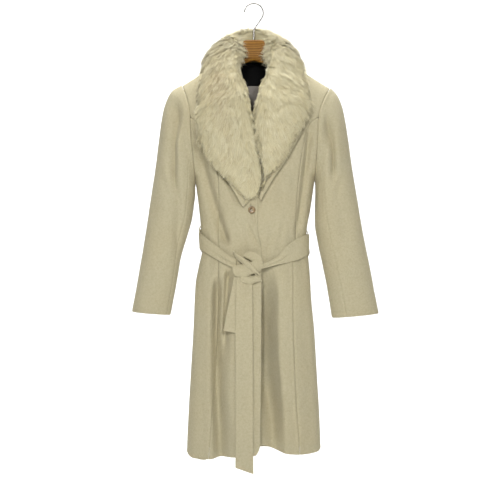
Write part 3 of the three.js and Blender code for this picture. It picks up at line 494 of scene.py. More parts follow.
def fur_material():
    material, tree, shader = new_material("fur_cream")
    # The hairs' colour attribute holds their colours with painted shade towards the roots
    attribute = tree.nodes.new("ShaderNodeAttribute")
    attribute.attribute_name = "tint"
    place = place_vector(tree)
    patches = ramp(tree, noise(tree, place, 26, 3, 0.6), [(0.35, (0.94, 0.92, 0.87)), (0.6, (1, 1, 1))])
    coloured = multiply(tree, attribute.outputs["Color"], patches, 0.7)
    tree.links.new(coloured, shader.inputs["Base Color"])
    set_inputs(shader, {"Roughness": 0.62, "Specular IOR Level": 0.35, "Sheen Weight": 0.35,
                        "Sheen Roughness": 0.4})
    return material


def underfur_material():
    material, tree, shader = new_material("fur_underwool")
    place = place_vector(tree)
    strands = noise(tree, place_vector(tree, (1, 1, 0.25)), 420, 4, 0.7, 0.8)
    coloured = ramp(tree, strands, [(0.35, (0.48, 0.43, 0.26)), (0.6, (0.62, 0.57, 0.36))])
    patches = ramp(tree, noise(tree, place, 22, 3), [(0.35, (0.88, 0.84, 0.78)), (0.6, (1, 1, 1))])
    tree.links.new(multiply(tree, coloured, patches, 0.8), shader.inputs["Base Color"])
    set_inputs(shader, {"Roughness": 0.9, "Sheen Weight": 0.3})
    bump_from(tree, shader, strands, 0.8, 0.002)
    return material


def wood_material():
    """Oiled beech with its grain along the hanger."""
    material, tree, shader = new_material("hanger_wood_finish")
    place = place_vector(tree, (0.22, 1, 1))
    rings = tree.nodes.new("ShaderNodeTexWave")
    rings.wave_type = "BANDS"
    rings.bands_direction = "Z"
    set_inputs(rings, {"Scale": 46, "Distortion": 5.5, "Detail": 3, "Detail Scale": 1.4})
    tree.links.new(place, rings.inputs["Vector"])
    base = ramp(tree, rings.outputs["Fac"], [(0.15, (0.175, 0.072, 0.006)), (0.85, (0.30, 0.142, 0.016))])
    pores = noise(tree, place_vector(tree, (0.12, 1, 1)), 900, 2, 0.6)
    dark = ramp(tree, pores, [(0.34, (0.6, 0.5, 0.4)), (0.5, (1, 1, 1))])
    tree.links.new(multiply(tree, base, dark, 0.7), shader.inputs["Base Color"])
    set_inputs(shader, {"Roughness": 0.55, "Specular IOR Level": 0.2})
    bump_from(tree, shader, pores, 0.15, 0.0003)
    return material


def chrome_material():
    material, tree, shader = new_material("hook_chrome_finish")
    smudge = noise(tree, place_vector(tree), 160, 3)
    tree.links.new(ramp(tree, smudge, [(0.3, (0.15, 0.14, 0.13)), (0.7, (0.26, 0.25, 0.24))]),
                   shader.inputs["Base Color"])
    rough = tree.nodes.new("ShaderNodeMapRange")
    set_inputs(rough, {"To Min": 0.12, "To Max": 0.3})
    tree.links.new(smudge, rough.inputs["Value"])
    tree.links.new(rough.outputs["Result"], shader.inputs["Roughness"])
    shader.inputs["Metallic"].default_value = 1.0
    return material


def horn_material():
    material, tree, shader = new_material("button_horn")
    streaks = noise(tree, place_vector(tree, (1, 1, 0.4)), 210, 4, 0.6, 1.5)
    base = ramp(tree, streaks, [(0.32, (0.045, 0.030, 0.012)), (0.5, (0.19, 0.125, 0.055)),
                                (0.66, (0.42, 0.29, 0.15))])
    tree.links.new(base, shader.inputs["Base Color"])
    set_inputs(shader, {"Roughness": 0.26, "Coat Weight": 0.3})
    bump_from(tree, shader, streaks, 0.12, 0.0003)
    return material


def lining_material():
    """Satin lining: fine twill lines and a soft shine."""
    material, tree, shader = new_material("lining_satin")
    lines = tree.nodes.new("ShaderNodeTexWave")
    lines.bands_direction = "DIAGONAL"
    set_inputs(lines, {"Scale": 520, "Distortion": 0.4})
    tree.links.new(place_vector(tree), lines.inputs["Vector"])
    cloud = noise(tree, place_vector(tree), 30, 3)
    base = ramp(tree, cloud, [(0.3, (0.085, 0.066, 0.045)), (0.7, (0.15, 0.12, 0.085))])
    tree.links.new(base, shader.inputs["Base Color"])
    set_inputs(shader, {"Roughness": 0.42, "Sheen Weight": 0.2})
    bump_from(tree, shader, lines.outputs["Fac"], 0.25, 0.0002)
    return material


# Near-black woven label; its black also paints the deep shade inside the back neck
def label_and_painted_shade_material():
    material, tree, shader = new_material("label_woven_painted_shade")
    weave = noise(tree, place_vector(tree, (1, 1, 2.5)), 1300, 2, 0.5)
    tree.links.new(ramp(tree, weave, [(0.35, (0.0012, 0.0012, 0.0013)), (0.7, (0.006, 0.006, 0.006))]),
                   shader.inputs["Base Color"])
    set_inputs(shader, {"Roughness": 0.85, "Specular IOR Level": 0.1})
    bump_from(tree, shader, weave, 0.3, 0.0003)
    return material


def thread_material():
    material, tree, shader = new_material("thread_cream")
    twist = noise(tree, place_vector(tree), 2600, 2)
    tree.links.new(ramp(tree, twist, [(0.3, (0.40, 0.33, 0.21)), (0.7, (0.60, 0.51, 0.34))]),
                   shader.inputs["Base Color"])
    shader.inputs["Roughness"].default_value = 0.7
    return material


WOOL = wool_material()
FUR = fur_material()
UNDERFUR = underfur_material()
WOOD = wood_material()
CHROME = chrome_material()
HORN = horn_material()
LINING = lining_material()
LABEL_AND_PAINTED_SHADE = label_and_painted_shade_material()
THREAD = thread_material()


# Lapels: strips between an outer and an inner line on the front
LAPELS = {
    "left": ([(-136, -350), (-112, -412), (-80, -470), (-56, -511), (-29, -560)],
             [(-70, -340), (-50, -400), (-30, -450), (-16, -490), (-14, -545)]),
    "right": ([(155, -295), (139, -330), (108, -392), (86, -430), (48, -487), (17, -543)],
              [(112, -285), (98, -322), (70, -380), (50, -418), (28, -465), (15, -530)]),
}
LAPEL_LINE = {side: track([(z, x) for x, z in lines[0]]) for side, lines in LAPELS.items()}
# Depth and half width of the groove beside a lapel, and the heights between which it fades at the top
LAPEL_GROOVE, LAPEL_GROOVE_HALF = 4.5, 7.0
LAPEL_GROOVE_TOP = {"left": (-402, -360), "right": (-318, -300)}


# Cloth panels
def edge_roll(distance):
    """How a pressed seam dips at its line and stands up a little over its turned-in allowance."""
    return -1.25 * bump(distance, 1.7) + 0.4 * bump(distance - 6.5, 3.2)


def rim_roll(distance):
    """How a folded free edge rounds off."""
    return -0.9 * bump(distance, 1.2) + 0.3 * bump(distance - 5, 3.5)


EDGE_STEPS = [0, 0.7, 1.5, 2.6, 4.2, 6.5, 9]


def spaced(width, step):
    """Shares of a width, close together at both ends and about step apart between."""
    inner = width - 2 * EDGE_STEPS[-1]
    count = max(2, int(round(inner / step)))
    start = np.array(EDGE_STEPS)
    middle = EDGE_STEPS[-1] + inner * np.arange(1, count) / count
    return np.concatenate([start, middle, width - start[::-1]]) / width


HEM_STEPS = [0, 0.8, 1.8, 3.2, 5.2, 8, 11]
COLUMN_STEP, ROW_STEP = 3.6, 6.0
BODY_LENGTH, YOKE_ARC = 740, 380
HEM_LEVEL = -748.0
HEM_STITCH_HEIGHT = 38


def rows_of(hem_z, top):
    """Arc places from each column's hem to the top, close together at the hem."""
    length = (UNDERARM - hem_z)[None, :]
    near = np.array(HEM_STEPS)[:, None] / length
    count = int(BODY_LENGTH / ROW_STEP)
    share = near[-1] + (1 - near[-1]) * np.arange(1, count)[:, None] / count
    low = -length * (1 - np.concatenate([near, share]))
    angle = np.linspace(0, math.pi / 2, int(YOKE_ARC / ROW_STEP))[:, None]
    high = np.sin(angle) * np.broadcast_to(top, hem_z.shape)[None, :]
    return np.concatenate([low, high])


def lengths_along(points):
    """How far each point of a grid is from its row's first one."""
    span = np.linalg.norm(np.diff(points, axis=1), axis=-1)
    return np.concatenate([np.zeros((len(points), 1)), np.cumsum(span, axis=1)], axis=1)


def panel(start, end, hem, top, width, lift=None, left_edge="seam", right_edge="seam"):
    """A body panel between two seams, from its hem to the yoke, with rolled edges and details."""
    u = spaced(width, COLUMN_STEP)
    hem_theta = lerp(start(HEM_LEVEL), end(HEM_LEVEL), u)
    hem_x = surface(hem_theta, HEM_LEVEL, False)[:, 0]
    s = rows_of(hem(hem_x), top(u) if callable(top) else top)
    first, last = start(s), end(s)
    gap = SEAM_GAP / 2
    first = first + arc_angle(first, s, gap)
    last = last - arc_angle(last, s, gap)
    theta = lerp(first, last, u[None, :])
    rest = surface(theta, s, False)
    along = lengths_along(rest)
    roll = 0
    for kind, distance in ((left_edge, along), (right_edge, along[:, -1:] - along)):
        roll = roll + (edge_roll(distance) if kind == "seam" else rim_roll(distance))
    from_hem = rest[..., 2] - hem(hem_x)[None, :]
    roll = roll + rim_roll(from_hem) - 0.35 * bump(from_hem - HEM_STITCH_HEIGHT, 1.6)
    from_top = np.abs(s[-1:] - s)
    roll = roll + 0.6 * edge_roll(from_top)
    raised = roll if lift is None else roll + lift(rest[..., 0], rest[..., 2])
    return body_point(theta, s, raised)


def over_start(s):
    return np.maximum(theta_of(PRINCESS_LEFT(s), s), armhole_theta(s, True, True))


def under_end(s):
    return np.minimum(theta_of(PRINCESS_RIGHT(s), s), armhole_theta(s, False, True))


def lapel_groove(side, x, z):
    """The hollow of the front cloth just outside a lapel's edge."""
    away = SIGN[side] * (x - LAPEL_LINE[side](z))
    along = smooth(-572, -548, z) * (1 - smooth(*LAPEL_GROOVE_TOP[side], z))
    return -LAPEL_GROOVE * along * bump(np.clip(away, -6, 60), LAPEL_GROOVE_HALF)


# The facing's two stitched lines, and the crease from under the button to the edge over the belt
FACING_LINES, FACING_DIP, FACING_HALF = (-31.6, -22.8), 0.7, 1.6
PULL_TOP, PULL_END = (-17, -589), (18, -665)
WELT_OFFSET, WELT_DIP, WELT_HALF = 9, 0.8, 1.7


def over_details(x, z):
    """The overlap's lift, its facing line, and the crease that runs to its edge over the belt."""
    facing = -FACING_DIP * sum(bump(x - line, FACING_HALF) for line in FACING_LINES)
    facing = facing * smooth(-690, -676, z) * (1 - smooth(-572, -560, z))
    (top_x, top_z), (end_x, end_z) = PULL_TOP, PULL_END
    pull = x - lerp(top_x, end_x, np.clip((z - top_z) / (end_z - top_z), 0, 1))
    crease = (4.2 * bump(pull, 4.0) - 4.6 * bump(pull + 9, 4.5)) * smooth(-674, -655, z)
    crease = crease * (1 - smooth(-606, -590, z))
    return over_lift(x, z) + facing + crease + lapel_groove("left", x, z)


def under_details(x, z):
    """The trough beside the overlap and the second line of the princess seam's welt."""
    _, s = place_of(x, z)
    welt = -WELT_DIP * bump(x - (PRINCESS_RIGHT(s) - WELT_OFFSET), WELT_HALF) * (1 - smooth(-800, -760, z))
    return under_trough(x, z) + welt + lapel_groove("right", x, z)


front_over_points = panel(over_start, lambda s: theta_of(OVER_EDGE(s), s), HEM_OVER, YOKE, 118,
                          over_details, right_edge="rim")
front_under_points = panel(lambda s: theta_of(UNDER_EDGE(s), s), under_end, HEM_UNDER, YOKE, 156,
                           under_details, left_edge="rim")
side_left_points = panel(lambda s: armhole_theta(s, True, True), lambda s: theta_of(PRINCESS_LEFT(s), s),
                         HEM_OVER, SIDE_TIP, 84)
side_right_points = panel(lambda s: theta_of(PRINCESS_RIGHT(s), s), lambda s: armhole_theta(s, False, True),
                          HEM_UNDER, SIDE_TIP, 80)


def back_top(left):
    def top(u):
        middle = np.full(u.shape, math.pi)
        side = armhole_theta(np.full(u.shape, YOKE), left, False)
        theta = lerp(middle, side, u) if left else lerp(side, middle, u)
        share = np.clip(surface(theta, YOKE * BACK_NECK_RISE, False)[:, 0] / NECK_HALF_WIDTH, -1, 1)
        return YOKE * (1 - (1 - BACK_NECK_RISE) * (1 - share ** 2))
    return top


def middle_back(s):
    return np.full(np.shape(s), math.pi)


back_left_points = panel(middle_back, lambda s: armhole_theta(s, True, False), HEM_BACK,
                         back_top(True), 200)
back_right_points = panel(lambda s: armhole_theta(s, False, False), middle_back, HEM_BACK,
                          back_top(False), 205)

front_over = cloth_piece("cloth_front_over", "front_over", front_over_points, WOOL)
cloth_piece("cloth_front_under", "front_under", front_under_points, WOOL)
cloth_piece("cloth_front_over_side", "front_over_side", side_left_points, WOOL)
cloth_piece("cloth_front_under_side", "front_under_side", side_right_points, WOOL)
cloth_piece("cloth_back_left", "back_left", back_left_points, WOOL)
cloth_piece("cloth_back_right", "back_right", back_right_points, WOOL)

# Sleeves: outer and inner outline and half depth from the armhole to the cuff
SLEEVES = {
    "left": [(-197, -225.5, -162, -478, 58), (-223, -241, -162, -490, 59), (-240, -273, -163, -505, 59),
             (-250, -311, -163, -525, 58), (-259, -380, -166, -550, 56), (-268, -450, -172, -590, 53),
             (-280, -530, -186, -640, 49), (-295, -630, -202, -695, 45), (-311, -725, -214, -765, 40),
             (-333, -845, -231, -853, 35)],
    "right": [(209, -232.5, 168, -478, 58), (226, -250, 170, -490, 59), (240, -281, 171, -505, 59),
              (249, -320, 171, -525, 58), (258, -380, 170, -552, 56), (268, -450, 170, -600, 53),
              (281, -530, 178, -655, 49), (297, -625, 190, -712, 45), (317, -725, 203, -776, 40),
              (341, -850, 217, -861, 35)],
}
# Angles of the front seam at the armhole and the cuff, and of the back seam, in degrees
SLEEVE_SEAMS = {"left": (118, 150, 248), "right": (128, 116, 246)}
SLEEVE_SEAM_GAP = 0.3
SLEEVE_LENGTH = 640.0
SLEEVE_END_STEPS = [0, 0.8, 1.8, 3.2, 5.5, 9]
SLEEVE_ROWS = 130
# Sleeve folds: angle at both ends, shares of the length, half width in degrees, depth
SleeveFold = namedtuple("SleeveFold", "at0 at1 t0 t1 width depth skew", defaults=(0,))
SLEEVE_FOLDS = {
    "left": [(62, 92, 0.05, 0.56, 12, 22, 0.45), (92, 138, 0.42, 0.80, 12, 9, 0.3),
             (280, 270, 0.3, 0.8, 18, 5), (112, 84, 0.04, 0.26, 10, 4),
             (134, 108, 0.03, 0.22, 9, 3), (40, 100, 0.5, 0.66, 14, 2.4),
             (60, 30, 0.62, 0.80, 14, 2.0), (130, 150, 0.58, 0.86, 10, 4),
             (30, 20, 0.75, 1.1, 16, 1.8), (230, 300, 0.55, 0.7, 16, 2.4),
             (240, 290, 0.62, 0.78, 12, 2.0), (30, 24, 0.1, 0.4, 12, 2)],
    "right": [(74, 88, 0.05, 0.52, 10, 20, -0.35), (88, 74, 0.40, 0.84, 16, 5),
              (285, 270, 0.3, 0.8, 18, 5), (128, 104, 0.04, 0.26, 9, 4),
              (134, 128, 0.28, 0.52, 9, 3), (46, 98, 0.48, 0.62, 14, 2.2),
              (86, 36, 0.58, 0.74, 14, 2.0), (130, 60, 0.66, 0.78, 12, 1.8),
              (34, 24, 0.72, 1.1, 16, 1.8), (232, 300, 0.55, 0.7, 16, 2.4),
              (242, 288, 0.63, 0.78, 12, 2.0), (34, 28, 0.1, 0.4, 12, 2)],
}


def sleeve_point(side, t, phi, lift):
    rows = SLEEVES[side]
    sign = SIGN[side]
    place = t * (len(rows) - 1)
    column = [track([(i, row[k]) for i, row in enumerate(rows)])(place) for k in range(5)]
    outer = np.stack([column[0], column[0] * 0, column[1]], -1)
    inner = np.stack([column[2], column[2] * 0, column[3]], -1)
    share = (1 + np.cos(phi)) / 2
    point = lerp(inner, outer, share[..., None])
    first = rows[0]
    arm = (ARM_LEFT if side == "left" else ARM_RIGHT)(share)
    bow = sign * arm - lerp(first[2], first[0], share)
    rise = lerp(UNDERARM, SHOULDER(arm), share) - lerp(first[3], first[1], share)
    near = 1 - smooth(0, 0.3, t)
    point[..., 0] += bow * near + sign * SEAM_GAP * (1 - smooth(0, 0.1, t))
    point[..., 2] += rise * near
    seam_depth = np.where(np.sin(phi) > 0, ARMHOLE_FRONT, ARMHOLE_BACK)
    depth = lerp(seam_depth, column[4], smooth(0, 0.12, t)) + lift
    fold = 0.5 * uneven(phi * 40, point[..., 2]) * smooth(0, 0.15, t)
    degrees = np.degrees(phi)
    for f in (SleeveFold(*row) for row in SLEEVE_FOLDS[side]):
        fade = min(0.12, (f.t1 - f.t0) / 2.2)
        shape = smooth(f.t0, f.t0 + fade, t) * (1 - smooth(f.t1 - fade, f.t1, t))
        where = lerp(f.at0, f.at1, np.clip((t - f.t0) / (f.t1 - f.t0), 0, 1))
        away = (degrees - where + 540) % 360 - 180
        across = away / f.width
        fold = fold + f.depth * shape * np.exp(-(across * (1 + f.skew * np.tanh(across))) ** 2)
    point[..., 1] = -np.sin(phi) * (depth - fold)
    swell = (point[..., 0] - (outer[..., 0] + inner[..., 0]) / 2)
    swell = swell / np.maximum(1, np.abs(outer[..., 0] - inner[..., 0]) / 2)
    point[..., 0] += swell * (lift - fold * 0.4) * smooth(0, 0.12, t)
    return point


def sleeve_points(side, is_top):
    seam_top, seam_low, seam_back = SLEEVE_SEAMS[side]
    length = SLEEVE_LENGTH
    near = np.array(SLEEVE_END_STEPS)
    inner = length - 2 * near[-1]
    middle = near[-1] + inner * np.arange(1, SLEEVE_ROWS) / SLEEVE_ROWS
    t = np.concatenate([near, middle, length - near[::-1]])[:, None] / length
    u = spaced(205.0 if is_top else 120.0, 3.8)[None, :]
    front = lerp(seam_top, seam_low, t)
    first = (seam_back - 360 + SLEEVE_SEAM_GAP) if is_top else front + SLEEVE_SEAM_GAP
    last = front - SLEEVE_SEAM_GAP if is_top else seam_back - SLEEVE_SEAM_GAP
    phi = np.radians(lerp(first, last, u))
    t, phi = np.broadcast_arrays(t, phi)
    along = lengths_along(sleeve_point(side, t, phi, 0))
    lift = edge_roll(along) + edge_roll(along[:, -1:] - along)
    lift = lift + 0.9 * edge_roll(t * length) + rim_roll((1 - t) * length)
    lift = lift + 1.6 * bump(t * length - 14, 9) * np.maximum(np.cos(phi), 0)
    lift = lift - 0.35 * bump((1 - t) * length - 32, 1.8)
    points = sleeve_point(side, t, phi, lift)
    # The grid's faces have to point out of the tube on both sides
    return points[:, ::-1] if side == "right" else points


for side in ("left", "right"):
    for kind in ("top", "under"):
        nodes = f"sleeve_{side}_{kind}"
        if nodes == "sleeve_right_top":
            nodes += " sleeve_right_top_low"
        cloth_piece(f"cloth_sleeve_{side}_{kind}", nodes, sleeve_points(side, kind == "top"), WOOL)


# Lapels
LAPEL_EDGE_RISE = 4.6


def along_line(points, t):
    """Points at shares t of a smooth line through points."""
    points = np.array(points, float)
    length = np.concatenate([[0], np.cumsum(np.linalg.norm(np.diff(points, axis=0), axis=1))])
    length /= length[-1]
    return np.stack([track(list(zip(length, points[:, k])))(t) for k in range(points.shape[1])], -1)


def lapel_points(side):
    outer_line, inner_line = LAPELS[side]
    t = np.linspace(0, 1, 110)
    outer, inner = along_line(outer_line, t), along_line(inner_line, t)
    u = spaced(34, 2.6)
    flat = lerp(inner[:, None, :], outer[:, None, :], u[None, :, None])
    x, z = flat[..., 0], flat[..., 1]
    away = (1 - u)[None, :] * np.linalg.norm(outer - inner, axis=1)[:, None]
    ends = np.minimum(t, 1 - t)[:, None] * 300
    wave = 0.5 * np.sin(t * 19 + 1)[:, None] + 0.35 * np.sin(t * 43)[:, None]
    raised = (LAPEL_EDGE_RISE + wave) * bump(away, 8) * smooth(0, 0.10, 1 - t)[:, None]
    roll = rim_roll(away) + rim_roll(ends) + raised
    points = on_body(x, z, cover_lift(x, z) + 0.6 + CLOTH + roll)
    return points[::-1] if side == "left" else points[::-1, ::-1]


for side in ("left", "right"):
    cloth_piece(f"cloth_lapel_{side}", f"lapel_{side}", lapel_points(side), WOOL)

# Belt
BELT_SEAT, BELT_THICKNESS = 0.9, 3.0
LEFT_UPPER = track([(-150, -619), (-128, -641), (-96, -668), (-62, -694), (-42, -703)])
LEFT_LOWER = track([(-150, -667), (-123, -686), (-70, -715), (-42, -727)])
RIGHT_UPPER = track([(10, -716), (20, -714), (58, -697), (88, -665), (114, -646), (146, -633)])
RIGHT_LOWER = track([(10, -729), (61, -715), (114, -702), (148, -684)])


def strand_points(side):
    left = side == "left"
    sign = SIGN[side]
    upper, lower = (LEFT_UPPER, LEFT_LOWER) if left else (RIGHT_UPPER, RIGHT_LOWER)
    end_x = -44.0 if left else 10.0
    level = float(upper(sign * 100)) - UNDERARM
    first = sign * (math.pi / 2 - arc_angle(np.array(sign * math.pi / 2 * 0.999), level, 0.25))
    theta = lerp(first, float(theta_of(np.array(end_x), level)), np.linspace(0, 1, 60))[:, None]
    x = section_width(np.array(level), np.array(left), True) * np.sin(theta)
    v = spaced(46, 2.2)[None, :]
    z = lerp(upper(x), lower(x), v)
    width = np.abs(upper(x) - lower(x))
    edge = np.minimum(v, 1 - v) * width
    towards = 1 - np.abs(x - end_x) / np.abs(x[0, 0] - end_x)
    ridge = 1.8 * bump(v - 0.36, 0.13) * smooth(0.25, 0.7, towards)
    groove = -1.4 * bump(v - 0.62, 0.07) * smooth(0.15, 0.6, towards)
    stitch = -0.28 * bump(edge - 4, 0.8) * (1 - smooth(0.5, 0.8, towards))
    roll = rim_roll(edge) + ridge + groove + stitch + 0.5 * np.sin(x / 11 + v * 3)
    theta = np.broadcast_to(theta, z.shape)
    lift = cover_lift(x + 0 * z, z) + BELT_SEAT + BELT_THICKNESS + roll
    points = body_point(theta, z - UNDERARM, lift, False)
    return points[:, ::-1] if left else points


def belt_back_points():
    theta = np.linspace(math.pi / 2 + 0.0025, 1.5 * math.pi - 0.0025, 150)[:, None]
    u = np.linspace(0, 1, 150)[:, None]
    v = spaced(48, 3)[None, :]
    middle, width = lerp(-658.5, -643, u), lerp(51, 48, u)
    edge = np.minimum(v, 1 - v) * width
    z = middle + width * (0.5 - v) + 1.2 * np.sin(u * 9)
    roll = rim_roll(edge) - 0.28 * bump(edge - 4, 0.8) + 0.5 * np.sin(u * 31 + v * 2)
    theta = np.broadcast_to(theta, z.shape)
    return body_point(theta, z - UNDERARM, BELT_SEAT + BELT_THICKNESS + roll, False)


TAIL_LONG_LEFT = track([(-742, -42), (-770, -47), (-900, -49), (-1260, -48.5)])
TAIL_LONG_RIGHT = track([(-742, -8), (-770, -4), (-900, -3), (-1280, -1.5)])
TAIL_SHORT_LEFT = track([(-752, -54), (-896, -80), (-910, -82)])
TAIL_SHORT_RIGHT = track([(-752, -24), (-896, -36), (-910, -37)])


def tail_points(left, right, top, ends, stand, seed):
    v = spaced(abs(ends[0] - top), 4.0)[:, None]
    u = spaced(46, 2.2)[None, :]
    z = lerp(top, lerp(ends[0], ends[1], u), v)
    x = lerp(left(z), right(z), u)
    edge = np.minimum(u, 1 - u) * 46
    from_end = z - lerp(ends[0], ends[1], u)
    gathered = 1 - smooth(-840, -770, z)
    near_knot = smooth(-860, -765, z)
    pleats = 2.0 * bump(u - 0.34, 0.09) - 1.7 * bump(u - 0.56, 0.07) + 1.2 * bump(u - 0.78, 0.08)
    pleats = pleats * near_knot
    sway = 1.3 * np.sin(z / 74 + seed) + 0.7 * np.sin(z / 31 + seed * 2 + u * 1.5)
    curl = 1.5 * (2 * u - 1) ** 2 * np.sin(z / 120 + seed)
    roll = rim_roll(edge) + rim_roll(from_end) - 0.28 * bump(edge - 4, 0.8) - 0.28 * bump(from_end - 4, 0.8)
    lift = stand + BELT_THICKNESS + roll + pleats + (sway + curl) * gathered + 2.0 * (1 - near_knot)
    return on_body(x, z, lift)[::-1]


for side, lower_front in (("left", "cloth_front_over"), ("right", "cloth_front_under")):
    cloth_piece(f"belt_strand_{side}", f"belt_{side}_strand", strand_points(side), WOOL,
                BELT_THICKNESS)
cloth_piece("belt_round_back", "belt_back", belt_back_points(), WOOL,
            BELT_THICKNESS)
cloth_piece("belt_tail_front", "belt_tail_long",
            tail_points(TAIL_LONG_LEFT, TAIL_LONG_RIGHT, -742, (-1256, -1272), 7.2, 0.6), WOOL,
            BELT_THICKNESS)
cloth_piece("belt_tail_behind", "belt_tail_short",
            tail_points(TAIL_SHORT_LEFT, TAIL_SHORT_RIGHT, -750, (-892, -901), 3.8, 2.2), WOOL,
            BELT_THICKNESS)


CARRIER_SEAT, CARRIER_THICKNESS = 0.4, 1.6


def loop_points(theta, middle):
    height, half = 72.0, 0.07
    v = spaced(height, 2.4)[:, None]
    u = spaced(24, 2)[None, :]
    ends = np.minimum(smooth(0, 0.1, v), smooth(0, 0.1, 1 - v))
    z = middle + height * (0.5 - v)
    across = np.minimum(u, 1 - u) * 10
    stand = BELT_SEAT + BELT_THICKNESS + 0.7
    angle, z = np.broadcast_arrays(theta + half * (u - 0.5), z)
    lift = lerp(CARRIER_SEAT, stand, ends) + CARRIER_THICKNESS - 0.7 * bump(across, 0.8)
    return body_point(angle, z - UNDERARM, lift, False)[::-1]


cloth_piece("belt_carrier_left", "belt_loop_left", loop_points(math.radians(-84), -646), WOOL,
            CARRIER_THICKNESS)
cloth_piece("belt_carrier_right", "belt_loop_right", loop_points(math.radians(96), -658), WOOL,
            CARRIER_THICKNESS)


# Knot: folded bands as flattened tubes through stations
def turns(count):
    return np.arange(count) / count * math.tau


def rounded_square(around, power):
    """Cosines and sines of a circle drawn out towards a square."""
    cos, sin = np.cos(turns(around)), np.sin(turns(around))
    return np.sign(cos) * np.abs(cos) ** power, np.sign(sin) * np.abs(sin) ** power


def band(stations, rings, around, crease):
    """A band of cloth: flattened ovals along stations, with lengthwise creases."""
    t = np.linspace(0, 1, rings)
    places = np.linspace(0, 1, len(stations))
    columns = [track(list(zip(places, [row[k] for row in stations])))(t) for k in range(6)]
    x, z, out, half_x, half_z, thick = columns
    y = on_body(x, z, 0.0)[:, 1] - out
    centre = np.stack([x, y, z], -1)
    axis = np.stack([half_x, np.zeros(rings), half_z], -1)
    tangent = np.gradient(centre, axis=0)
    across = np.cross(tangent, axis)
    across /= np.linalg.norm(across, axis=1, keepdims=True)
    cos, sin = rounded_square(around, 2 / 2.6)
    ripple = 1 + crease * np.sin(cos[None, :] * 7 + t[:, None] * 5) * 0.5
    points = centre[:, None] + axis[:, None] * cos[None, :, None]
    points = points + across[:, None] * (sin[None, :] * thick[:, None] * ripple)[..., None]
    return points


def tube_faces(rings, around, offset):
    faces = grid_faces(rings, around, wrap=True, offset=offset)
    faces.append([offset + k for k in reversed(range(around))])
    faces.append([offset + (rings - 1) * around + k for k in range(around)])
    return faces


# Each station's x, z, height over the coat, half width in x and z, and half thickness
KNOT_BANDS = [
    [(-50, -690, 11, -5, 11, 3.5), (-36, -700, 15, -10, 15, 5), (-16, -714, 18, -12, 18, 6),
     (4, -732, 16, -13, 16, 6), (13, -752, 10, -9, 9, 4.5)],
    [(20, -721, 9, 4, 13, 4), (0, -722, 12, 5, 19, 6), (-24, -732, 12, 2, 20, 6.5),
     (-56, -733, 8, -4, 13, 4)],
    [(-34, -752, 10, 4, 9, 5), (-12, -757, 12, 1, 10, 6), (14, -750, 10, -4, 9, 5)],
    [(-24, -686, 10, 8, 7, 3.4), (-4, -692, 12, 9, 10, 4), (14, -708, 11, 8, 11, 4),
     (19, -728, 8, 7, 8, 3.4)],
]


def make_knot():
    vertices, faces, offset = [], [], 0
    rings, around = 46, 36
    for row in KNOT_BANDS:
        vertices.append(band(row, rings, around, 0.16).reshape(-1, 3))
        faces += tube_faces(rings, around, offset)
        offset += rings * around
    return make_object("belt_knot_bands", np.concatenate(vertices), faces)


knot = dress(make_knot(), "wool_cloth", WOOL, "belt_knot")


# Lining and label inside the neck; the label's near-black also paints the deep shade there
def patch_points(half_x, top, corner_drop, bottom, depth, step):
    v = np.linspace(0, 1, int((top - bottom) / step))[:, None]
    u = np.linspace(-1, 1, int(2 * half_x / step))[None, :]
    x, z = np.broadcast_arrays(u * half_x, lerp(top - corner_drop * u ** 2, bottom, v))
    ripple = 0.5 * np.sin(x / 9 + z / 40) * smooth(-230, -300, z)
    return on_body(x, z, -depth + ripple, front=False)


LINING_THICKNESS, LABEL_THICKNESS = 1.2, 0.8
LINING_DEPTH = 2.5 + 1.4
LABEL_DEPTH = LINING_DEPTH + 1.2 + 1.2
cloth_piece("lining_back_neck", "back_neck_lining",
            patch_points(62, -154, 26, -330, LINING_DEPTH + LINING_THICKNESS, 4), LINING,
            thickness=-LINING_THICKNESS, slot="lining")
cloth_piece("label_blank_painted_shade", "neck_label",
            patch_points(35, -152, 4, -217, LABEL_DEPTH + LABEL_THICKNESS, 3), LABEL_AND_PAINTED_SHADE,
            thickness=-LABEL_THICKNESS, slot="label")

# Hanger and hook
HANGER_HALF = 193.0
HANGER_TOP = track([(0, -98.5), (22, -98.8), (29, -103), (31.5, -112), (33, -132), (38, -139.5),
                    (75, -159.3), (120, -181.2), (145, -199.5), (186, -226.2), (191, -232), (193, -237)])
HANGER_BOTTOM = track([(0, -155.6), (29, -164), (60, -178), (100, -196), (150, -222), (186, -243),
                       (191, -242), (193, -240)])
HANGER_DEPTH = track([(0, 7), (33, 7), (75, 8), (145, 11), (184, 11.5), (191, 8), (193, 4)])


def make_hanger():
    fine = np.concatenate([np.linspace(0, 29, 14), np.linspace(29.6, 38, 18), np.linspace(41, 180, 44),
                           np.linspace(182, HANGER_HALF, 14)])
    x = np.concatenate([-fine[:0:-1], fine])
    top, bottom, half = HANGER_TOP(np.abs(x)), HANGER_BOTTOM(np.abs(x)), HANGER_DEPTH(np.abs(x))
    around = 40
    cos, sin = rounded_square(around, 0.7)
    y = half[:, None] * cos
    z = (top + bottom)[:, None] / 2 + (top - bottom)[:, None] / 2 * sin
    points = np.stack([np.broadcast_to(x[:, None], y.shape), y, z], -1)
    return make_object("hanger_shaped_wood", points, tube_faces(len(x), around, 0))


HOOK_BEND, HOOK_CENTRE_DROP = 26.0, 24.0


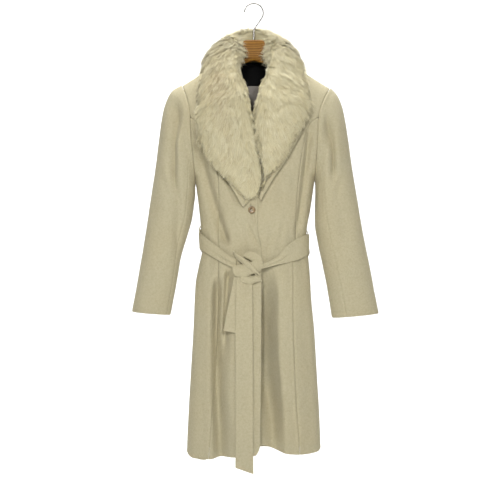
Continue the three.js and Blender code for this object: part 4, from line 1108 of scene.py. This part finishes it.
def make_hook():
    bend = np.radians(np.arange(178, -36, -7))
    arc = list(zip(HOOK_BEND * np.cos(bend), HOOK_BEND * np.sin(bend) - HOOK_CENTRE_DROP))
    stem = [(21.3, -38.9), (12, -53), (3.5, -65.5), (0.6, -74), (0, -84), (0, -99)]
    path = along_line(arc + stem, np.linspace(0, 1, 130))
    centre = np.stack([path[:, 0], np.zeros(len(path)), path[:, 1]], -1)
    tangent = np.gradient(centre, axis=0)
    tangent /= np.linalg.norm(tangent, axis=1, keepdims=True)
    side = np.cross(tangent, [0, 1, 0])
    around, radius = 20, 2.0
    angle = turns(around)
    ring = side[:, None] * np.cos(angle)[None, :, None] + np.array([0, 1, 0]) * np.sin(angle)[None, :, None]
    size = np.full(len(path), radius)
    size[:3] = radius * np.array([0.5, 0.85, 1.0])
    points = centre[:, None] + ring * size[:, None, None]
    return make_object("hook_wire", points, tube_faces(len(path), around, 0))


dress(make_hanger(), "hanger_wood", WOOD, "hanger_wood")
dress(make_hook(), "hook_chrome", CHROME, "hook")


# Button and its thread


def make_button():
    profile = [(0, 2.2), (4.6, 2.2), (6.2, 2.5), (7.4, 3.3), (8.4, 3.7), (9.3, 3.4), (9.9, 2.6), (10, 1.6),
               (9.6, 0.6), (8.6, 0.1), (0, 0)]
    mesh = bmesh.new()
    steps = 64
    previous = None
    face_y = float(on_body(BUTTON_X, BUTTON_Z, over_lift(BUTTON_X, BUTTON_Z))[1]) - 0.8
    for radius, height in profile:
        if radius == 0:
            ring = [mesh.verts.new((BUTTON_X * MM, (face_y - height) * MM, BUTTON_Z * MM))]
        else:
            ring = [mesh.verts.new(((BUTTON_X + radius * math.cos(a)) * MM, (face_y - height) * MM,
                                    (BUTTON_Z + radius * math.sin(a)) * MM))
                    for a in turns(steps)]
        if previous is not None:
            for k in range(steps):
                a, b = previous[k % len(previous)], previous[(k + 1) % len(previous)]
                c, d = ring[(k + 1) % len(ring)], ring[k % len(ring)]
                corners = [v for i, v in enumerate((a, b, c, d)) if v not in (a, b, c, d)[:i]]
                mesh.faces.new(corners).smooth = True
        previous = ring
    bmesh.ops.recalc_face_normals(mesh, faces=mesh.faces)
    data = bpy.data.meshes.new("button_horn_disc")
    mesh.to_mesh(data)
    mesh.free()
    made = bpy.data.objects.new("button_horn_disc", data)
    bpy.context.scene.collection.objects.link(made)
    return made, face_y


def thread_bars(name, ends, radius):
    """Short round threads between pairs of points, as one mesh."""
    vertices, faces = [], []
    around = 6
    angle = turns(around)
    for start, end in ends:
        start, end = np.array(start, float), np.array(end, float)
        along = (end - start) / np.linalg.norm(end - start)
        side = np.cross(along, [0.3, 1, 0.2])
        side /= np.linalg.norm(side)
        other = np.cross(along, side)
        ring = side * np.cos(angle)[:, None] + other * np.sin(angle)[:, None]
        stations = [(0, 0.35), (0.2, 1), (0.8, 1), (1, 0.35)]
        offset = len(vertices)
        for t, scale in stations:
            vertices += list(lerp(start, end, t) + ring * radius * scale)
        faces += tube_faces(len(stations), around, offset)
    return make_object(name, np.array(vertices), faces)


button, button_face = make_button()
dress(button, "horn_button", HORN, "button")
HOLE = 2.4
cross_threads = [((BUTTON_X - lean * HOLE, button_face - height, BUTTON_Z - HOLE),
                  (BUTTON_X + lean * HOLE, button_face - height, BUTTON_Z + HOLE))
                 for lean, height in ((1, 2.9), (-1, 3.3))]
dress(thread_bars("button_thread", cross_threads, 0.7), "wool_cloth", THREAD)


# The buttonhole that the button pulls open into a leaning slot
SLOT_HALF_X, SLOT_HALF_Z, SLOT_LEAN = 2.6, 29.0, math.radians(13)
SLOT_X, SLOT_Z = BUTTON_X + 3, BUTTON_Z - 13


def slot_outline(count, grow=0.0):
    angle = turns(count)
    x = (SLOT_HALF_X + grow) * np.cos(angle)
    z = (SLOT_HALF_Z + grow) * np.sin(angle)
    return (SLOT_X + x * math.cos(SLOT_LEAN) - z * math.sin(SLOT_LEAN),
            SLOT_Z + x * math.sin(SLOT_LEAN) + z * math.cos(SLOT_LEAN))


def cut_buttonhole():
    around = 40
    x, z = slot_outline(around)
    y = float(on_body(SLOT_X, SLOT_Z, 0)[1])
    near = np.stack([x, np.full(around, y - 16), z], -1)
    far = np.stack([x, np.full(around, y + 2.4), z], -1)
    cutter = make_object("slot_cutter", np.concatenate([near, far]), tube_faces(2, around, 0))
    cut = front_over.modifiers.new("buttonhole", "BOOLEAN")
    cut.operation = "DIFFERENCE"
    cut.solver = "EXACT"
    cut.object = cutter
    apply_modifiers(front_over)
    bpy.data.objects.remove(cutter)


def buttonhole_stitches():
    inner_x, inner_z = slot_outline(96, -0.1)
    outer_x, outer_z = slot_outline(96, 2.2)
    ends = []
    for a, b, c, d in zip(inner_x, inner_z, outer_x, outer_z):
        start = on_body(np.array(a), np.array(b), over_lift(a, b) + 0.3)
        end = on_body(np.array(c), np.array(d), over_lift(c, d) + 0.15)
        ends.append((start, end))
    return thread_bars("buttonhole_stitches", ends, 0.55)


cut_buttonhole()
dress(buttonhole_stitches(), "wool_cloth", WOOL)


# Fur collar: a soft underlayer shrunk from each CAD half, and hairs rooted on it
def fur_length(z):
    return lerp(17.0, 34.0, smooth(-530, -380, z))


def vertex_array(mesh, collection, name):
    items = getattr(mesh, collection)
    values = np.zeros(len(items) * 3, np.float32)
    items.foreach_get(name, values)
    return values.reshape(-1, 3).astype(float)


UNDERLAYER_GRID = 0.005


def underlayer(side):
    """The fur's dense lower layer. It stays on the coat and at the seam behind the neck."""
    sign = SIGN[side]
    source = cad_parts[f"fur_collar_{side}"]
    made = bpy.data.objects.new(f"fur_underlayer_{side}", source.data.copy())
    bpy.context.scene.collection.objects.link(made)
    remesh = made.modifiers.new("even", "REMESH")
    remesh.mode = "VOXEL"
    remesh.voxel_size = UNDERLAYER_GRID
    soften = made.modifiers.new("soften", "SMOOTH")
    soften.iterations = 6
    soften.factor = 0.6
    shaped = apply_modifiers(made)
    points = vertex_array(shaped, "vertices", "co") / MM
    normals = vertex_array(shaped, "vertices", "normal")
    x, y, z = points.T
    depth = lerp(0.30, 0.12, smooth(-190, -130, z)) * fur_length(z)
    on_coat = smooth(0.1, 0.6, normals[:, 1]) * smooth(-200, -230, z) * smooth(0, -20, y)
    moved = points - normals * (depth * (1 - on_coat))[:, None]
    at_seam = smooth(22, 8, np.abs(x)) * smooth(10, 26, y)
    moved[:, 0] = lerp(moved[:, 0], sign * np.maximum(sign * x, 0.4), at_seam)
    shaped.vertices.foreach_set("co", (moved * MM).ravel())
    shaped.polygons.foreach_set("use_smooth", [True] * len(shaped.polygons))
    shaped.update()
    return made


def unit(vectors):
    return vectors / np.maximum(np.linalg.norm(vectors, axis=-1, keepdims=True), 1e-9)


GAP_LEFT = track([(-540, 10), (-465, 20), (-375, 4), (-300, -6), (-230, -20), (-165, -29)])
GAP_RIGHT = track([(-540, 12), (-465, 24), (-375, 6), (-300, -4), (-230, 22), (-165, 30)])


def comb_direction(points, normals, sign):
    """Which way the fur lies: over the fold and down round the neck, down and outward on the chest,
    and into the gap along the inner edges."""
    x, y, z = points.T
    zero = np.zeros(len(x))
    radial = unit(np.stack([x, y - 8, zero], -1))
    facing_in = smooth(-0.1, 0.6, -(normals * radial).sum(1))
    drift = 0.20 * np.sin(z / 37 + sign) + 0.13 * np.sin(z / 15 + x / 19)
    outer = radial * 0.8 + np.stack([drift, zero, zero - 0.75], -1)
    inner = -radial * 0.7 + np.stack([drift, zero, zero + 0.15], -1)
    round_neck = lerp(outer, inner, facing_in[:, None])
    gap_x = (GAP_LEFT if sign < 0 else GAP_RIGHT)(z)
    from_gap = np.maximum(sign * (x - gap_x), 0)
    lean = (0.16 if sign < 0 else 0.42) + 0.003 * from_gap
    front = np.stack([sign * lean + drift, zero - 0.08, zero - 0.95], -1)
    into_gap = np.stack([zero - sign * 0.95, zero - 0.1, zero - 0.40], -1)
    front = lerp(front, into_gap, (0.85 * bump(from_gap, 20))[:, None])
    on_front = smooth(-170, -235, z) * smooth(20, -20, y)
    return unit(lerp(round_neck, front, on_front[:, None]))


def hair_colour(points, side, pick):
    """Each hair's colour: pale cream, with yellow and, high on the left, brown tints."""
    cream = np.array([0.66, 0.60, 0.385])
    pale = np.array([0.73, 0.68, 0.48])
    yellow = np.array([0.60, 0.53, 0.31])
    brown = np.array([0.36, 0.25, 0.13])
    mixed = np.where(pick[:, :1] < 0.5, cream, np.where(pick[:, :1] < 0.8, pale, yellow))
    if side == "left":
        patch = bump(points[:, 0] + 88, 36) * bump(points[:, 2] + 222, 66)
        line = 0.5 * bump(points[:, 0] + 72 + 0.12 * (points[:, 2] + 330), 16) * bump(points[:, 2] + 340, 90)
        tinted = pick[:, 1] < 0.5 * patch + 0.25 * line
        mixed = np.where(tinted[:, None], lerp(mixed, brown, 0.55), mixed)
    stray = pick[:, 2] < 0.012
    return np.where(stray[:, None], lerp(mixed, brown, 0.8), mixed)


def sample_roots(mesh, count, random):
    mesh.calc_loop_triangles()
    triangles = np.zeros(len(mesh.loop_triangles) * 3, np.int32)
    mesh.loop_triangles.foreach_get("vertices", triangles)
    triangles = triangles.reshape(-1, 3)
    points = vertex_array(mesh, "vertices", "co") / MM
    normals = vertex_array(mesh, "vertices", "normal")
    a, b, c = (points[triangles[:, k]] for k in range(3))
    area = np.linalg.norm(np.cross(b - a, c - a), axis=1)
    pick = random.choice(len(triangles), count, p=area / area.sum())
    u, v = random.random((2, count, 1))
    u, v = np.where(u + v > 1, 1 - u, u), np.where(u + v > 1, 1 - v, v)
    root = a[pick] + u * (b[pick] - a[pick]) + v * (c[pick] - a[pick])
    na, nb, nc = (normals[triangles[pick, k]] for k in range(3))
    return root, unit(na * (1 - u - v) + nb * u + nc * v)


def depth_in_front(points):
    """How far each point stands in front of the coat's front cloth."""
    return on_body(points[:, 0], points[:, 2], 0.0)[:, 1] - points[:, 1]


def nearest(points, centres):
    found = np.zeros(len(points), int)
    for start in range(0, len(points), 4000):
        part = points[start:start + 4000]
        distance = ((part[:, None] - centres[None]) ** 2).sum(-1)
        found[start:start + 4000] = distance.argmin(1)
    return found


PAST_BOX = 4


def stay_in_box(points):
    low, high = cad_box
    return np.clip(points, np.array(low) / MM - PAST_BOX, np.array(high) / MM + PAST_BOX)


HAIRS_IN_TUFT = 18
# More roots than hairs, since those on the coat are dropped
SPARE_ROOTS = 1.7
ROOT_DEPTH, TUFT_PULL, CLEAR_OF_CLOTH = 1.5, 3.5, 7.0
# Each length of a hair: its share, how far it stands up, and how far it lies along
HAIR_STEPS = [(0.45, 0.42, 0.9), (0.55, 0.12, 1.0)]
TIP_SAG = np.array([0, 0, -0.08])
TUFT_PULL_ALONG = np.array([0, 0.18, 0.55])
HAIR_WIDTH = (0.50, 0.92)
HAIR_TAPER = np.array([1.0, 0.95, 0.1])
# Painted shade along each hair: darker at its root than at its tip
HAIR_ROOT_PAINTED_SHADE = np.array([0.90, 0.90, 0.98, 0.98, 1.02])
HAIR_ROUNDNESS = 0.22


def grow_hairs(base, name, side, count, seed):
    """Hairs as narrow flat strips of three triangles, gathered into tufts, in one mesh."""
    sign = SIGN[side]
    random = np.random.default_rng(seed)
    root, normal = sample_roots(base.data, int(count * SPARE_ROOTS), random)
    # No hair grows where the collar lies on the coat or its halves meet
    on_coat = (root[:, 1] < -10) & (root[:, 2] > -545) & (normal[:, 1] > 0.45)
    under = (root[:, 2] < -165) & (normal[:, 2] < -0.8) & (np.abs(root[:, 1]) < 45)
    at_seam = (np.abs(root[:, 0]) < 6) & (root[:, 1] > 20) & (sign * normal[:, 0] < -0.8)
    inside_back = (root[:, 1] > 20) & (root[:, 2] < -170) & (normal[:, 1] < -0.3)
    keep = ~(on_coat | under | at_seam | inside_back)
    root, normal = root[keep][:count], normal[keep][:count]
    size = len(root)
    comb = comb_direction(root, normal, sign) + random.normal(0, 0.11, (size, 3))
    lying = unit(comb - (comb * normal).sum(1, keepdims=True) * normal)
    gap_x = (GAP_LEFT if sign < 0 else GAP_RIGHT)(root[:, 2])
    by_gap = bump(sign * (root[:, 0] - gap_x), 13) * smooth(-150, -200, root[:, 2]) * (root[:, 1] < 10)
    length = fur_length(root[:, 2]) * random.uniform(0.62, 1.08, size) * (1 - 0.62 * by_gap)
    wisp = random.random(size) < 0.02
    length = np.where(wisp, length * 1.25, length)
    tufts = size // HAIRS_IN_TUFT
    centres = random.choice(size, tufts, replace=False)
    owner = nearest(root, root[centres])
    swing = random.normal(0, 0.09, (tufts, 3))[owner]
    rise = random.normal(0, 0.04, tufts)[owner] + 0.72 * smooth(-150, -90, root[:, 2])
    lying = unit(lerp(lying, lying[centres][owner], 0.4) + swing)
    spine = [root - normal * ROOT_DEPTH]
    for (share, up, along), rising, sag in zip(HAIR_STEPS, (rise, rise * 0.5), (0 * TIP_SAG, TIP_SAG)):
        step = unit(normal * (up + rising)[:, None] + lying * along + sag)
        spine.append(spine[-1] + step * (length * share)[:, None])
    spine = np.stack(spine, 1)
    own_tip = spine[:, -1]
    offset = own_tip[centres][owner] - own_tip
    offset *= np.minimum(1, TUFT_PULL / np.maximum(np.linalg.norm(offset, axis=1), 1e-6))[:, None]
    spine = spine + offset[:, None] * TUFT_PULL_ALONG[None, :, None]
    # Hairs lie on the cloth and don't go into it
    for k in (1, 2):
        point = spine[:, k]
        clear = CLEAR_OF_CLOTH - depth_in_front(point)
        in_front = (point[:, 1] < 0) & (clear > 0) & (point[:, 2] < -200)
        point[:, 1] -= np.where(in_front, clear, 0)
    spine = stay_in_box(spine)
    width = random.uniform(*HAIR_WIDTH, size)
    tangent = unit(np.gradient(spine, axis=1))
    tilt = normal[:, None] + random.normal(0, 0.16, normal.shape)[:, None]
    flat = unit(np.cross(tangent, tilt))
    half = flat * (width[:, None] * HAIR_TAPER)[..., None] / 2
    vertices = np.stack([spine - half, spine + half], 2).reshape(size, 6, 3)
    vertices[:, 4] = spine[:, 2]
    vertices = vertices[:, :5]
    starts = (np.arange(size) * 5)[:, None]
    faces = (np.array([0, 1, 3, 2]) + starts).tolist() + (np.array([2, 3, 4]) + starts).tolist()
    made = make_object(name, vertices, faces)
    colour = hair_colour(root, side, random.random((size, 3)))
    # Each hair's colour darkened towards its root as painted shade, times a random tone for each hair
    root_painted_shade_and_tone = HAIR_ROOT_PAINTED_SHADE * random.uniform(0.93, 1.05, (size, 1))
    tint = np.concatenate([colour[:, None] * root_painted_shade_and_tone[..., None], np.ones((size, 5, 1))], -1)
    layer = made.data.color_attributes.new("tint", "FLOAT_COLOR", "POINT")
    layer.data.foreach_set("color", np.clip(tint, 0, 1).astype(np.float32).ravel())
    # Shaded mostly as the surface that the fur makes together
    own = np.cross(flat, tangent)
    outward = np.sign((own * normal[:, None]).sum(-1, keepdims=True))
    soft = unit(normal[:, None] + own * HAIR_ROUNDNESS * outward)
    shading = soft[:, [0, 0, 1, 1, 2]].reshape(-1, 3)
    made.data.normals_split_custom_set_from_vertices(shading.tolist())
    return made


HAIRS = 43000
for side, seeds in (("left", (11, 12)), ("right", (23, 24))):
    under = underlayer(side)
    dress(under, "fur", UNDERFUR, f"fur_collar_{side}")
    for layer_name, seed in zip(("low", "top"), seeds):
        dress(grow_hairs(under, f"fur_hair_{side}_{layer_name}", side, HAIRS, seed), "fur", FUR)


# Stage, light and camera
def make_stage():
    """A white floor that curves up into a wall behind the coat."""
    floor_z, wall_y, radius, half = -1500.0, 2600.0, 900.0, 4500.0
    profile = [(-5200, floor_z), (wall_y - radius, floor_z)]
    for angle in np.linspace(0, math.pi / 2, 16)[1:]:
        profile.append((wall_y - radius * (1 - math.sin(angle)), floor_z + radius * (1 - math.cos(angle))))
    profile.append((wall_y, 3600))
    points = np.array([[(x, y, z) for x in (-half, half)] for y, z in profile], float)
    made = make_object("studio_sweep", points, grid_faces(len(profile), 2))
    material, tree, shader = new_material("studio_white")
    grain = noise(tree, place_vector(tree), 3, 2)
    tree.links.new(ramp(tree, grain, [(0.3, (0.93, 0.93, 0.93)), (0.7, (0.95, 0.95, 0.95))]),
                   shader.inputs["Base Color"])
    shader.inputs["Roughness"].default_value = 1.0
    made.data.materials.append(material)


def area_light(name, place, target, size, power, spread=180):
    data = bpy.data.lights.new(name, "AREA")
    data.shape = "DISK"
    data.size = size
    data.energy = power
    data.spread = math.radians(spread)
    light = bpy.data.objects.new(name, data)
    light.location = place
    light.rotation_euler = (Vector(target) - Vector(place)).to_track_quat("-Z", "Y").to_euler()
    bpy.context.scene.collection.objects.link(light)


def set_world(strength):
    world = bpy.data.worlds.new("studio")
    bpy.context.scene.world = world
    world.use_nodes = True
    background = world.node_tree.nodes["Background"]
    background.inputs["Color"].default_value = (1.0, 1.0, 1.0, 1)
    background.inputs["Strength"].default_value = strength


def set_camera():
    """The photograph's view: level, three metres off, with 1.3475 m across the frame at the coat."""
    data = bpy.data.cameras.new("photo_view")
    camera = bpy.data.objects.new("photo_view", data)
    bpy.context.scene.collection.objects.link(camera)
    distance, field = 3.0, 1.3475
    camera.location = (-0.0242, -distance, -0.6622)
    camera.rotation_euler = (math.pi / 2, 0, 0)
    data.sensor_width = 36
    data.lens = 36 * distance / field
    data.clip_end = 60
    data.dof.use_dof = False
    bpy.context.scene.camera = camera


make_stage()
set_world(0.07)
area_light("key", (-0.5, -3.1, 0.6), (0, 0, -0.65), 0.35, 10.6, 80)
area_light("fill", (0.6, -3.1, 0.1), (0, 0, -0.65), 0.35, 6.0, 80)
area_light("backdrop", (0, 0.6, 2.6), (0, 2.4, -0.8), 3.0, 220)
set_camera()
bpy.context.scene.view_settings.view_transform = "Standard"
bpy.context.scene.view_settings.look = "None"
